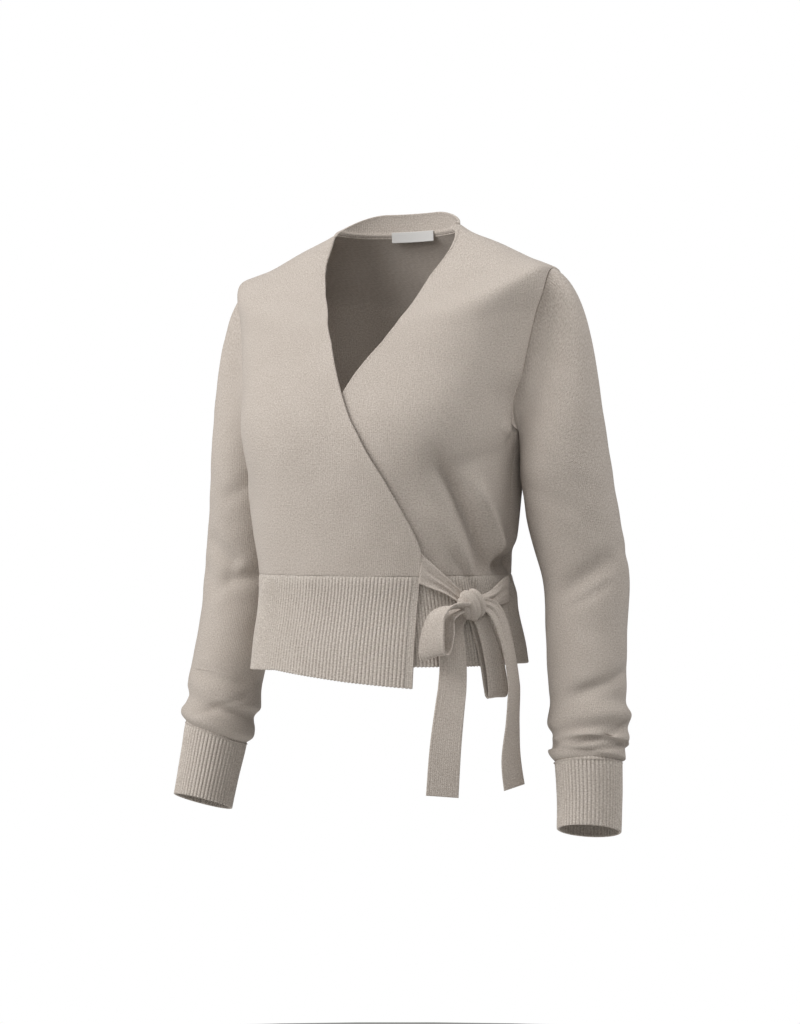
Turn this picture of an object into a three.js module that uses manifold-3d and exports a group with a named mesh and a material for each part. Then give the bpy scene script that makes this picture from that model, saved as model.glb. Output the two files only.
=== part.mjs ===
// Wrap cardigan: a cropped fine-knit cardigan with a deep V neck, set-in sleeves, a deep rib hem and rib
// cuffs. The right front wraps over the left one and its tie is knotted in a bow with the tie of the left
// side seam. It is filled out as it is worn, with nobody in it, and hangs from the shoulders.
// Millimetres. +Z is up, -Y is the front and +X is the wearer's left. The origin is midway between the
// points where the shoulder seams meet the neck, which is where the wearer holds it up.

import * as THREE from "three";
import { mergeVertices } from "three/addons/utils/BufferGeometryUtils.js";
import Module from "manifold-3d";

const wasm = await Module();
wasm.setup();

// Driving sizes
const CLOTH = 2.2; // wall of the plain knit
const SEAM_GAP = 0.3; // between two pieces at a seam
const WRAP_LIFT = CLOTH + 1.6; // how far the right front rides out over the left front
const RIB_PITCH = 3.6; // one rib and its groove
const RIB_RISE = 1; // height of a rib over its groove
const RIB_WALL = 1.9; // wall of the rib at a groove
const WAIST_Z = -365; // seam between the plain knit and the hem rib
const TIE_THICK = 2.6; // a tie is a flat knitted tube, two layers thick
const BUST = { around: 35, z: -208, rise: 11, aroundReach: 21, zReach: 52 };

const KNIT = { color: 0xb5aa9e, roughness: 0.95, metalness: 0 };
const LABEL = { color: 0xdcd9d2, roughness: 0.6, metalness: 0 };

// The body of the garment as rings, from the hem up to the neck. Below the armpit they are level. Above
// it they arch, and the last ones run in over the shoulders. "square" is the ring's superellipse power.
const BODY = [
  { name: "hem", half: 154, sideY: -20, frontY: -137, backY: 95, sideZ: -480, frontZ: -480, backZ: -480, square: 2.2 },
  { name: "low rib", half: 149, sideY: -22, frontY: -134, backY: 90, sideZ: -440, frontZ: -440, backZ: -440, square: 2.2 },
  { name: "mid rib", half: 142, sideY: -25, frontY: -131, backY: 80, sideZ: -400, frontZ: -400, backZ: -400, square: 2.2 },
  { name: "waist", half: 139, sideY: -28, frontY: -134, backY: 75, sideZ: -365, frontZ: -365, backZ: -365, square: 2.2 },
  { name: "over waist", half: 144, sideY: -30, frontY: -140, backY: 79, sideZ: -325, frontZ: -325, backZ: -325, square: 2.2 },
  { name: "low chest", half: 148, sideY: -30, frontY: -145, backY: 85, sideZ: -285, frontZ: -285, backZ: -285, square: 2.2 },
  { name: "under bust", half: 150, sideY: -28, frontY: -148, backY: 91, sideZ: -248, frontZ: -248, backZ: -248, square: 2.25 },
  { name: "armpit", half: 156, sideY: -20, frontY: -146, backY: 95, sideZ: -218, frontZ: -214, backZ: -214, square: 2.3 },
  { name: "over armpit", half: 158, sideY: -10, frontY: -138, backY: 97, sideZ: -178, frontZ: -180, backZ: -174, square: 2.5 },
  { name: "mid armhole", half: 163, sideY: -2, frontY: -128, backY: 97, sideZ: -136, frontZ: -150, backZ: -138, square: 2.65 },
  { name: "high armhole", half: 170, sideY: 3, frontY: -116, backY: 93, sideZ: -92, frontZ: -122, backZ: -104, square: 2.7 },
  { name: "shoulder tip", half: 180, sideY: 6, frontY: -104, backY: 84, sideZ: -44, frontZ: -104, backZ: -72, square: 2.6 },
  { name: "outer shoulder", half: 150, sideY: 7, frontY: -94, backY: 73, sideZ: -33, frontZ: -96, backZ: -48, square: 2.3 },
  { name: "inner shoulder", half: 112, sideY: 5, frontY: -82, backY: 58, sideZ: -15, frontZ: -88, backZ: -22, square: 2.15 },
  { name: "neck", half: 72, sideY: 0, frontY: -66, backY: 40, sideZ: 0, frontZ: -80, backZ: -1, square: 2 },
];
const WAIST = 3; // the row that each of these rings has in the table
const ARMPIT = 7;
const SHOULDER_TIP = 11;
const NECK = 14;

// The free edges of the fronts, from the neck down: how far the edge is from the centre line, counted
// towards that front's own side seam, so it is negative once the edge has crossed over.
const EDGE_RIGHT = [
  { z: 0, out: 66.5 },
  { z: -8, out: 66 },
  { z: -19.5, out: 64.5 },
  { z: -34, out: 63.5 },
  { z: -50, out: 59 },
  { z: -72, out: 49 },
  { z: -98, out: 31 },
  { z: -125, out: 15 },
  { z: -158, out: 0 },
  { z: -186, out: -13 },
  { z: -208, out: -24.5 },
  { z: -221, out: -33 },
  { z: -239, out: -43 },
  { z: -265, out: -58.5 },
  { z: -290, out: -70.5 },
  { z: -317, out: -82.5 },
  { z: -330, out: -87 },
  { z: -341, out: -89.5 },
  { z: -353, out: -88 },
  { z: -372, out: -86 },
  { z: -400, out: -83 },
  { z: -430, out: -82.5 },
  { z: -490, out: -82 },
];
const EDGE_LEFT = [
  { z: 0, out: 70 },
  { z: -2, out: 71.5 },
  { z: -4.7, out: 76.4 },
  { z: -13, out: 79.6 },
  { z: -26, out: 80.1 },
  { z: -40.5, out: 76 },
  { z: -54.6, out: 69 },
  { z: -82, out: 62 },
  { z: -95, out: 58.5 },
  { z: -109, out: 53.5 },
  { z: -127, out: 43.5 },
  { z: -143, out: 31 },
  { z: -159, out: 20 },
  { z: -178, out: 9.5 },
  { z: -213, out: -9 },
  { z: -240, out: -26 },
  { z: -271, out: -44 },
  { z: -300, out: -59 },
  { z: -327, out: -70 },
  { z: -365, out: -78 },
  { z: -490, out: -79 },
];

// The hem hangs lowest at the corner of the right front and is drawn up at the left by the tie.
const HEM_RIGHT = [
  { share: 0, z: -470 },
  { share: 0.5, z: -464 },
  { share: 0.78, z: -473 },
  { share: 1, z: -478.5 },
];
const HEM_LEFT = [
  { share: 0, z: -456 },
  { share: 1, z: -457 },
];

// How far the armhole cuts in from the side, in degrees, in front and behind.
const ARMHOLE = { front: 14, back: 15 };

// The largest folds of the body: soft troughs from one place to another, in degrees and millimetres. One
// with a depth below 0 is a ridge.
const BODY_FOLDS = [
  { fromAround: 38, fromZ: -222, toAround: 74, toZ: -372, depth: 10, reach: 10 },
  { fromAround: 56, fromZ: -250, toAround: 84, toZ: -345, depth: -4, reach: 12 },
  { fromAround: 72, fromZ: -357, toAround: 118, toZ: -351, depth: 13, reach: 13 },
  { fromAround: 76, fromZ: -389, toAround: 112, toZ: -386, depth: -2, reach: 11 },
  { fromAround: 74, fromZ: -30, toAround: 72, toZ: -175, depth: -7, reach: 22 },
  { fromAround: -74, fromZ: -30, toAround: -72, toZ: -175, depth: -7, reach: 22 },
];

// A sleeve as rings down its middle line, given for the left one. "across" is its radius to the side and
// "deep" its radius to the front. "lean" raises the outer side of a ring, and "tip" its front side.
const ARM = [
  { name: "upper arm", x: 193, y: 15, z: -262, across: 46, deep: 55, lean: 0, tip: 0 },
  { name: "over elbow", x: 200, y: 21, z: -315, across: 47, deep: 51.5, lean: 0, tip: 0 },
  { name: "elbow", x: 211, y: 25, z: -370, across: 44.5, deep: 47, lean: 0, tip: 0 },
  { name: "forearm", x: 215, y: 16, z: -425, across: 42, deep: 44, lean: 0, tip: 0 },
  { name: "low forearm", x: 221, y: 5, z: -475, across: 40, deep: 42, lean: 0, tip: 0 },
];
// The gathers over each cuff, which are not alike. The left sleeve has slid further down.
const GATHERS = {
  left: [
    { x: 223, y: 2, z: -496, across: 38.5, deep: 40, lean: 0, tip: 1 },
    { x: 228, y: -1, z: -512, across: 42.5, deep: 42, lean: 3, tip: -2 },
    { x: 227, y: -3, z: -525, across: 38, deep: 39, lean: 3, tip: -2 },
    { x: 230.5, y: -5, z: -535, across: 39.5, deep: 41.5, lean: 5, tip: 1 },
    { x: 227.5, y: -7, z: -543, across: 38, deep: 38.5, lean: 4, tip: 2 },
    { x: 227, y: -9, z: -549, across: 39, deep: 40, lean: 2, tip: 0 },
    { x: 229, y: -11, z: -556.7, across: 34, deep: 35, lean: 0, tip: 0 },
  ],
  right: [
    { x: 221, y: 0, z: -506, across: 39.5, deep: 41, lean: 2, tip: 2 },
    { x: 228.5, y: -2, z: -520, across: 41.5, deep: 42.5, lean: -3, tip: 2 },
    { x: 227, y: -4, z: -530, across: 38.5, deep: 39.5, lean: -5, tip: 1 },
    { x: 224, y: -6, z: -538, across: 39, deep: 41, lean: -2, tip: -2 },
    { x: 224.5, y: -8, z: -545, across: 36, deep: 37, lean: 1, tip: -1 },
    { x: 226, y: -9, z: -550, across: 37, deep: 38, lean: 1, tip: 0 },
    { x: 228, y: -11, z: -555.7, across: 34, deep: 35, lean: 0, tip: 0 },
  ],
};
const CUFF = [
  { name: "cuff top", x: 229.5, y: -11.5, z: -557.3, across: 33.5, deep: 34.5, lean: 0, tip: 0 },
  { name: "mid cuff", x: 233, y: -17, z: -590, across: 32.5, deep: 33.5, lean: 0, tip: 2 },
  { name: "cuff end", x: 235.5, y: -24, z: -621, across: 31.8, deep: 33, lean: 0, tip: 4 },
];
const CUFF_RIBS = 52;
const CAP_FULLNESS = 0.8; // how far the sleeve's head stands out before it turns down
const CAP_HANG = 1.2; // how long it then hangs straight above the first ring of the table

// The right arm hangs a little further back than the left one.
const ARM_SHIFT = { left: -6, right: 6 };

// The largest folds of the sleeves. "Around" is 0 on the outer side, 90 in front and 180 at the body.
const SLEEVE_FOLDS = {
  left: [
    { fromAround: 122, fromZ: -391, toAround: 15, toZ: -342, depth: 5, reach: 10 },
    { fromAround: 110, fromZ: -490, toAround: -10, toZ: -462, depth: 3, reach: 8 },
  ],
  right: [
    { fromAround: 45, fromZ: -322, toAround: 112, toZ: -360, depth: 4, reach: 10 },
    { fromAround: 78, fromZ: -377, toAround: 150, toZ: -370, depth: 4.5, reach: 9 },
    { fromAround: 40, fromZ: -472, toAround: 165, toZ: -489, depth: 3, reach: 8 },
  ],
};

// The band that stands up round the back of the neck, from near the edge of the left front to the right
// front. It grows from "past" degrees in front of a shoulder seam, over "taper" degrees.
const NECKBAND = { from: 84, to: 284, height: 23.5, endHeight: 1.5, past: 16, taper: 80, lean: 0.16 };
const NECK_LABEL = { half: 25.5, low: -7, high: 4.5, thick: 1, clear: 0.5 };

// The ties and the bow lie over the left side. Each row gives a place on the body in degrees and height,
// how far out from it the tie's middle is, its width, the turn of its width from level ("rise"), its swing
// out from the body, and the depth of its gathers.
const TIES = {
  tie_right_strap: [
    { around: 37.95, z: -356.5, out: 3.7, width: 30.5, rise: 86, swing: 0, gather: 0 },
    { around: 41, z: -362.7, out: 5, width: 25, rise: 80, swing: 0, gather: 0.8 },
    { around: 44.8, z: -369.2, out: 7.5, width: 19.5, rise: 74, swing: 0, gather: 1.2 },
    { around: 48.6, z: -376, out: 10, width: 14.5, rise: 67, swing: 0, gather: 1.6 },
    { around: 52.5, z: -385, out: 13, width: 12, rise: 62, swing: 0, gather: 1.6 },
    { around: 57, z: -393, out: 15, width: 11, rise: 62, swing: 0, gather: 1.6 },
  ],
  tie_left_strap: [
    { around: 89, z: -379, out: 4.2, width: 28, rise: 90, swing: 0, gather: 0 },
    { around: 80, z: -383, out: 7.5, width: 25, rise: 95, swing: 0, gather: 0.8 },
    { around: 70, z: -390, out: 11, width: 18, rise: 105, swing: 0, gather: 1.6 },
    { around: 60, z: -394, out: 14, width: 13, rise: 110, swing: 0, gather: 1.6 },
  ],
  bow_loop_front: [
    { around: 56, z: -396, out: 22, width: 12, rise: 20, swing: -34, gather: 1 },
    { around: 47, z: -396, out: 27, width: 14, rise: 14, swing: -38, gather: 0.6 },
    { around: 41.8, z: -407, out: 29.5, width: 21, rise: 6, swing: -38, gather: 0.2 },
    { around: 39.5, z: -428, out: 29.5, width: 28, rise: 8, swing: -36, gather: 0 },
    { around: 39.2, z: -445, out: 24, width: 30, rise: 20, swing: -34, gather: 0 },
    { around: 41.2, z: -443, out: 19.5, width: 30, rise: 16, swing: -32, gather: 0 },
    { around: 43.3, z: -426, out: 18.5, width: 28, rise: 8, swing: -32, gather: 0 },
    { around: 46.2, z: -407, out: 18, width: 21, rise: 6, swing: -32, gather: 0.4 },
    { around: 56, z: -397, out: 16, width: 12, rise: 14, swing: -34, gather: 0.8 },
  ],
  bow_loop_back: [
    { around: 59, z: -399, out: 13, width: 13, rise: -15, swing: 0, gather: 0 },
    { around: 62, z: -418, out: 14, width: 17, rise: -6, swing: -4, gather: 0 },
    { around: 65, z: -450, out: 13, width: 21.5, rise: 0, swing: -6, gather: 0 },
    { around: 66.2, z: -481, out: 11.5, width: 23.5, rise: 4, swing: -6, gather: 0 },
    { around: 66.2, z: -487, out: 7.8, width: 23.5, rise: 4, swing: -6, gather: 0 },
    { around: 66.2, z: -478, out: 4.4, width: 23.5, rise: 4, swing: -6, gather: 0 },
    { around: 65, z: -450, out: 4.2, width: 21.5, rise: 0, swing: -6, gather: 0 },
    { around: 62, z: -420, out: 4.6, width: 17, rise: -6, swing: -4, gather: 0 },
    { around: 59, z: -400, out: 8, width: 13, rise: -15, swing: 0, gather: 0 },
  ],
  bow_tail_front: [
    { around: 55, z: -399, out: 9, width: 16, rise: 0, swing: -10, gather: 0.8 },
    { around: 49.5, z: -414.8, out: 4.8, width: 22, rise: 0, swing: -8, gather: 0.4 },
    { around: 48.1, z: -436.9, out: 4.6, width: 27, rise: 0, swing: -4, gather: 0 },
    { around: 47.4, z: -461.9, out: 6, width: 28, rise: 0, swing: -6, gather: 0 },
    { around: 45.3, z: -498.2, out: 10, width: 30, rise: 0, swing: -12, gather: 0 },
    { around: 43.5, z: -539.2, out: 12, width: 32, rise: 0, swing: -14, gather: 0 },
    { around: 42.4, z: -584.5, out: 11, width: 33, rise: -3, swing: -10, gather: 0 },
  ],
  bow_tail_back: [
    { around: 59, z: -394, out: 18, width: 13, rise: 45, swing: 0, gather: 1 },
    { around: 64, z: -397, out: 22, width: 16, rise: 45, swing: 6, gather: 0.6 },
    { around: 67.5, z: -409, out: 23, width: 20, rise: 30, swing: 14, gather: 0 },
    { around: 70, z: -434, out: 22, width: 25, rise: 10, swing: 24, gather: 0 },
    { around: 72, z: -472, out: 20, width: 30, rise: 0, swing: 24, gather: 0 },
    { around: 71.5, z: -515, out: 19, width: 31, rise: 0, swing: 20, gather: 0 },
    { around: 71, z: -550, out: 18, width: 32, rise: 2, swing: 10, gather: 0 },
    { around: 72.5, z: -580, out: 19, width: 32, rise: 10, swing: 4, gather: 0 },
  ],
};
const TIE_GATHERS = 2; // folds across a gathered tie
const KNOT = { around: 57, z: -394.5, out: 17, long: 15, tall: 16, thick: 11, tilt: 38, wraps: 3, wrapRise: 0.05 };

// Half of the gap at a side seam as a turn in degrees, and the gap over the waist seam in rows of BODY
const SIDE_GAP = 0.07;
const WAIST_GAP = 0.008;

// How finely the pieces are divided
const PARTS = {
  armholeRows: 11,
  bodyRows: 8,
  shoulderRows: 5,
  frontColumns: 12,
  backColumns: 16,
  capRings: 6,
  ribSteps: 4,
  tieAcross: 6,
  tieStep: 10.5,
};

const radians = (angle) => (angle * Math.PI) / 180;
const clamp = (value, low, high) => Math.min(high, Math.max(low, value));
const between = (a, b, t) => a + (b - a) * t;
const steps = (count) => Array.from({ length: count + 1 }, (_, i) => i / count);

// A soft step from 0 to 1.
function ease(t) {
  const c = clamp(t, 0, 1);
  return c * c * (3 - 2 * c);
}

// A column of a table, read between its rows on a smooth curve. "at" counts rows from 0.
function read(table, column, at) {
  const i = clamp(Math.floor(at), 0, table.length - 2);
  const t = at - i;
  const [a, b, c, d] = [i - 1, i, i + 1, i + 2].map((k) => table[clamp(k, 0, table.length - 1)][column]);
  return 0.5 * (2 * b + (c - a) * t + (2 * a - 5 * b + 4 * c - d) * t * t + (3 * b - a - 3 * c + d) * t * t * t);
}

// A table of heights and sizes, read at a height on straight lines. The heights fall from row to row.
function readAtHeight(table, column, z) {
  const last = table.length - 1;
  if (z >= table[0].z) return table[0][column];
  if (z <= table[last].z) return table[last][column];
  const i = table.findIndex((row) => row.z <= z) - 1;
  return between(table[i][column], table[i + 1][column], (table[i].z - z) / (table[i].z - table[i + 1].z));
}

// The height of the hem at a share of the way from the side seam to the free edge, on a soft line.
function readAcross(table, share) {
  const i = Math.max(0, table.findIndex((row) => row.share >= share) - 1);
  const t = (share - table[i].share) / (table[i + 1].share - table[i].share);
  return between(table[i].z, table[i + 1].z, ease(t));
}

// How deep a set of folds is at a place, given the millimetres that one degree is worth there.
function foldDepth(folds, around, z, perDegree) {
  let depth = 0;
  for (const fold of folds) {
    const run = new THREE.Vector2((fold.toAround - fold.fromAround) * perDegree, fold.toZ - fold.fromZ);
    const here = new THREE.Vector2((around - fold.fromAround) * perDegree, z - fold.fromZ);
    const length = run.length();
    const along = here.dot(run) / length;
    const off = Math.abs(here.cross(run)) / length;
    const ends = ease(along / (0.35 * length)) * ease((length - along) / (0.25 * length) + 0.4);
    depth += fold.depth * ends * Math.exp(-((off / fold.reach) ** 2));
  }
  return depth;
}

// The outer face of the body without bust or folds. "around" is 0 at centre front, 90 at the left side
// seam and 180 at centre back. "level" counts the rows of BODY.
function bareBody(around, level) {
  const s = Math.sin(radians(around));
  const c = Math.cos(radians(around));
  const get = (column) => read(BODY, column, level);
  const power = get("square");
  const r = (Math.abs(s) ** power + Math.abs(c) ** power) ** (-1 / power);
  const end = c >= 0 ? "front" : "back";
  const reach = Math.abs(c) * r;
  return new THREE.Vector3(
    get("half") * s * r,
    between(get("sideY"), get(end + "Y"), reach),
    between(get("sideZ"), get(end + "Z"), reach * reach),
  );
}

// The direction straight out of a surface that is given as a function of two numbers.
function outward(surface, a, b, stepA, stepB) {
  const alongA = surface(a + stepA, b).sub(surface(a - stepA, b));
  const alongB = surface(a, b + stepB).sub(surface(a, b - stepB));
  return alongA.cross(alongB).normalize();
}

// The outer face of the body, moved straight out by "out".
function body(around, level, out = 0) {
  const p = bareBody(around, level);
  const bust =
    BUST.rise *
    Math.exp(-(((Math.abs(around) - BUST.around) / BUST.aroundReach) ** 2) - ((p.z - BUST.z) / BUST.zReach) ** 2);
  const fold = foldDepth(BODY_FOLDS, around, p.z, 2.5);
  return p.addScaledVector(outward(bareBody, around, level, 0.5, 0.02), bust - fold + out);
}

// The level of the body rings at a height, for the part below the armpit where the rings are flat.
function levelAt(z) {
  let low = 0;
  let high = ARMPIT - 1;
  for (let i = 0; i < 30; i++) {
    const middle = (low + high) / 2;
    if (read(BODY, "sideZ", middle) < z) low = middle;
    else high = middle;
  }
  return (low + high) / 2;
}

// A closed surface from a list of corners and faces, turned to face out.
function surfaceOf(points, faces) {
  let volume = 0;
  for (let i = 0; i < faces.length; i += 3) {
    const [a, b, c] = [points[faces[i]], points[faces[i + 1]], points[faces[i + 2]]];
    volume += a.dot(new THREE.Vector3().crossVectors(b, c));
  }
  if (volume < 0) faces.reverse();
  const geometry = new THREE.BufferGeometry();
  geometry.setAttribute("position", new THREE.Float32BufferAttribute(points.flatMap((p) => p.toArray()), 3));
  geometry.setIndex(faces);
  geometry.computeVertexNormals();
  return geometry;
}

// A wall between two grids of points, [row][column]. The inner grid may have fewer columns than the outer
// one, by a whole number of times. A round wall closes on itself, and any other has four edges.
function wall(outer, inner, round = false) {
  const rows = outer.length;
  const outerCount = outer[0].length;
  const innerCount = inner[0].length;
  const outerSpans = round ? outerCount : outerCount - 1;
  const innerSpans = round ? innerCount : innerCount - 1;
  const ratio = outerSpans / innerSpans;
  const o = (row, column) => row * outerCount + (column % outerCount);
  const i = (row, column) => rows * outerCount + row * innerCount + (column % innerCount);
  const faces = [];
  const quad = (a, b, c, d) => faces.push(a, b, c, a, c, d);
  for (let row = 0; row < rows - 1; row++) {
    for (let k = 0; k < outerSpans; k++) quad(o(row, k), o(row, k + 1), o(row + 1, k + 1), o(row + 1, k));
    for (let k = 0; k < innerSpans; k++) quad(i(row, k), i(row + 1, k), i(row + 1, k + 1), i(row, k + 1));
    if (!round) {
      quad(o(row, 0), o(row + 1, 0), i(row + 1, 0), i(row, 0));
      quad(o(row + 1, outerSpans), o(row, outerSpans), i(row, innerSpans), i(row + 1, innerSpans));
    }
  }
  const top = rows - 1;
  for (let k = 0; k < innerSpans; k++) {
    for (let j = k * ratio; j < (k + 1) * ratio; j++) {
      faces.push(o(0, j + 1), o(0, j), i(0, k));
      faces.push(o(top, j), o(top, j + 1), i(top, k));
    }
    faces.push(o(0, (k + 1) * ratio), i(0, k), i(0, k + 1));
    faces.push(i(top, k), o(top, (k + 1) * ratio), i(top, k + 1));
  }
  return surfaceOf([...outer.flat(), ...inner.flat()], faces);
}

// Rows of levels that the fronts and the back share: the plain part, the armhole and the shoulder.
const plainLevels = steps(PARTS.bodyRows).map((t) => between(WAIST, ARMPIT, t));
const shoulderLevels = steps(PARTS.shoulderRows).map((t) => between(SHOULDER_TIP, NECK, t));

// How far round from the side seam the armhole's edge is at a share of its height.
function armholeCut(t, depth) {
  return depth * (1 - Math.abs(2 * t - 1) ** 5) ** 0.6;
}

// Levels at even distances along the armhole's edge, worked out on the front.
const armholeLevels = (() => {
  const fine = steps(400);
  const point = (t) => bareBody(90 - armholeCut(t, ARMHOLE.front), between(ARMPIT, SHOULDER_TIP, t));
  const lengths = [0];
  for (let i = 1; i < fine.length; i++) lengths.push(lengths[i - 1] + point(fine[i]).distanceTo(point(fine[i - 1])));
  return steps(PARTS.armholeRows).map((share) => {
    const i = lengths.findIndex((length) => length >= share * lengths[400] - 1e-6);
    return between(ARMPIT, SHOULDER_TIP, fine[i]);
  });
})();

const panelLevels = [...plainLevels, ...armholeLevels.slice(1), ...shoulderLevels.slice(1)];

// Degrees round from centre front (or centre back) at which a panel ends at the side, at one level.
function sideOf(level, depth) {
  const t = (level - ARMPIT) / (SHOULDER_TIP - ARMPIT);
  return 90 - (t > 0 && t < 1 ? armholeCut(t, depth) : 0);
}

// Where the free edge of a front is at one level, in degrees from centre front towards its own side.
function edgeOf(table, level, side) {
  const miss = (around) => {
    const p = bareBody(around * side, level);
    return p.x * side - readAtHeight(table, "out", p.z);
  };
  let high = 90;
  while (high > -80 && miss(high) > 0) high -= 2;
  let low = high;
  high += 2;
  for (let i = 0; i < 30; i++) {
    const middle = (low + high) / 2;
    if (miss(middle) > 0) high = middle;
    else low = middle;
  }
  return high;
}

// How far the right front is lifted off the body's face, where the left front lies under it.
function wrapLift(around, level) {
  const hiddenEdge = edgeOf(EDGE_LEFT, level, 1);
  return WRAP_LIFT * ease((around - hiddenEdge + 30) / 24);
}

// A place on the garment and the wall's two faces there, moved along the wall's own outward direction.
function layer(around, level, lift, outer, inner) {
  return { outer: body(around, level, lift + outer), inner: body(around, level, lift - inner) };
}

function frontPanel(side, table) {
  const outer = [];
  const inner = [];
  for (const level of panelLevels) {
    const free = edgeOf(table, level, side);
    const end = sideOf(level, ARMHOLE.front) - SIDE_GAP;
    const bottom = level === WAIST ? WAIST_GAP : 0;
    const faces = steps(PARTS.frontColumns).map((t) => {
      const around = between(free, end, t) * side;
      return layer(around, level + bottom, side < 0 ? wrapLift(around, level) : 0, 0, CLOTH);
    });
    outer.push(faces.map((f) => f.outer));
    inner.push(faces.map((f) => f.inner));
  }
  return wall(outer, inner);
}

function backPanel() {
  const outer = [];
  const inner = [];
  for (const level of panelLevels) {
    const end = sideOf(level, ARMHOLE.back) - SIDE_GAP;
    const bottom = level === WAIST ? WAIST_GAP : 0;
    const faces = steps(PARTS.backColumns).map((t) => layer(180 + between(-end, end, t), level + bottom, 0, 0, CLOTH));
    outer.push(faces.map((f) => f.outer));
    inner.push(faces.map((f) => f.inner));
  }
  return wall(outer, inner);
}

// A band of rib from one angle to another, which may change with the height. The ribs are raised in its
// outer points, over a plain inside.
function hemRib(from, toAt, hemAt, lift) {
  const middle = (WAIST_Z + HEM_LEFT[0].z) / 2;
  const middleLevel = levelAt(middle);
  const to = toAt(middle);
  let length = 0;
  for (const t of steps(40).slice(1)) {
    length += body(between(from, to, t), middleLevel).distanceTo(body(between(from, to, t - 1 / 40), middleLevel));
  }
  const groups = Math.round(length / RIB_PITCH / 2);
  const columns = groups * PARTS.ribSteps;
  const row = (down) => {
    const end = toAt(between(WAIST_Z, hemAt(1), down));
    const at = (t, height) => {
      const around = between(from, end, t);
      const z = between(WAIST_Z - SEAM_GAP, hemAt(t), down);
      return body(around, levelAt(z), lift(around, levelAt(z)) + height);
    };
    const rise = (k) => (k % 2 === 1 ? RIB_RISE : 0);
    return {
      outer: steps(columns).map((t, k) => at(t, rise(k))),
      inner: steps(groups).map((t) => at(t, -RIB_WALL)),
    };
  };
  const rows = [0, 0.5, 1].map(row);
  return wall(
    rows.map((r) => r.outer),
    rows.map((r) => r.inner),
  );
}

// A place on one sleeve below its cap. "around" is 0 on the outer side, 90 in front, 180 at the body.
function sleevePoint(side, around, at) {
  const hand = side > 0 ? "left" : "right";
  const table = [...ARM, ...GATHERS[hand], ...CUFF];
  const get = (column) => read(table, column, at);
  const c = Math.cos(radians(around));
  const s = Math.sin(radians(around));
  const from = clamp(at - 2, 0, table.length - 1);
  const to = clamp(at + 2, 0, table.length - 1);
  const run = (column) => read(table, column, to) - read(table, column, from);
  const ahead = new THREE.Vector3(run("x"), run("y"), run("z")).normalize();
  const outSide = new THREE.Vector3(1, 0, 0).addScaledVector(ahead, -ahead.x).normalize();
  const toFront = new THREE.Vector3().crossVectors(outSide, ahead);
  if (toFront.y > 0) toFront.negate();
  const p = new THREE.Vector3(get("x"), get("y") + ARM_SHIFT[hand], get("z"))
    .addScaledVector(outSide, get("across") * c)
    .addScaledVector(toFront, get("deep") * s);
  p.z += get("lean") * c + get("tip") * s;
  p.x *= side;
  return p;
}

// The armhole's edge as a loop of points, from the shoulder tip round the front to the armpit and up the
// back, each with the way the sleeve leaves it.
function armholeLoop(side) {
  const down = [...armholeLevels].reverse();
  const places = [
    ...down.map((level) => ({ level, around: sideOf(level, ARMHOLE.front) })),
    ...armholeLevels.slice(1, -1).map((level) => ({ level, around: 180 - sideOf(level, ARMHOLE.back) })),
  ];
  return places.map(({ level, around }, k) => {
    const turn = radians((360 * k) / places.length);
    const leave = new THREE.Vector3(
      side * (0.68 + 0.17 * Math.cos(turn)),
      -0.12 * Math.sin(turn),
      -0.61 + 0.11 * Math.cos(turn),
    ).normalize();
    const out = outward(bareBody, around * side, level, 0.5, 0.02);
    const start = body(around * side, level).addScaledVector(leave, SEAM_GAP).addScaledVector(out, SEAM_GAP * 0.8);
    return { start, leave };
  });
}

// The rings of a sleeve: the cap runs from the armhole to the first ring of the table on smooth curves.
function sleeveRings(side) {
  const loop = armholeLoop(side);
  const turn = (k) => (360 * k) / loop.length;
  const rings = [];
  for (const t of steps(PARTS.capRings).slice(0, -1)) {
    rings.push(
      loop.map(({ start, leave }, k) => {
        const end = sleevePoint(side, turn(k), 0);
        const below = sleevePoint(side, turn(k), 0.2);
        const reach = start.distanceTo(end);
        const arrive = below.sub(end).normalize().multiplyScalar(reach * CAP_HANG);
        const depart = leave.clone().multiplyScalar(reach * CAP_FULLNESS);
        return start
          .clone()
          .multiplyScalar(2 * t ** 3 - 3 * t ** 2 + 1)
          .addScaledVector(depart, t ** 3 - 2 * t ** 2 + t)
          .addScaledVector(end, 3 * t ** 2 - 2 * t ** 3)
          .addScaledVector(arrive, t ** 3 - t ** 2);
      }),
    );
  }
  const plain = steps(2 * ARM.length - 1).map((t) => between(0, ARM.length - 0.5, t));
  const gathered = GATHERS.left.map((_, i) => ARM.length + i);
  for (const at of [...plain, ...gathered]) rings.push(loop.map((_, k) => sleevePoint(side, turn(k), at)));
  return rings;
}

// Moves each point of a closed stack of rings along its own outward direction.
function movedOut(rings, side, amount) {
  const count = rings[0].length;
  return rings.map((ring, r) =>
    ring.map((p, k) => {
      const around = ring[(k + 1) % count].clone().sub(ring[(k + count - 1) % count]);
      const down = rings[Math.min(r + 1, rings.length - 1)][k].clone().sub(rings[Math.max(r - 1, 0)][k]);
      const out = around.cross(down).normalize().multiplyScalar(side);
      return p.clone().addScaledVector(out, amount(p, k, r));
    }),
  );
}

function sleeve(side) {
  const smooth = sleeveRings(side);
  const count = smooth[0].length;
  const folds = SLEEVE_FOLDS[side > 0 ? "left" : "right"];
  const outer = movedOut(smooth, side, (p, k, r) => {
    const turn = (360 * k) / count;
    const nearest = turn > 250 ? turn - 360 : turn;
    return r < PARTS.capRings ? 0 : -foldDepth(folds, nearest, p.z, 0.8);
  });
  const inner = movedOut(outer, side, () => -CLOTH);
  return wall(outer, inner, true);
}

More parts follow.
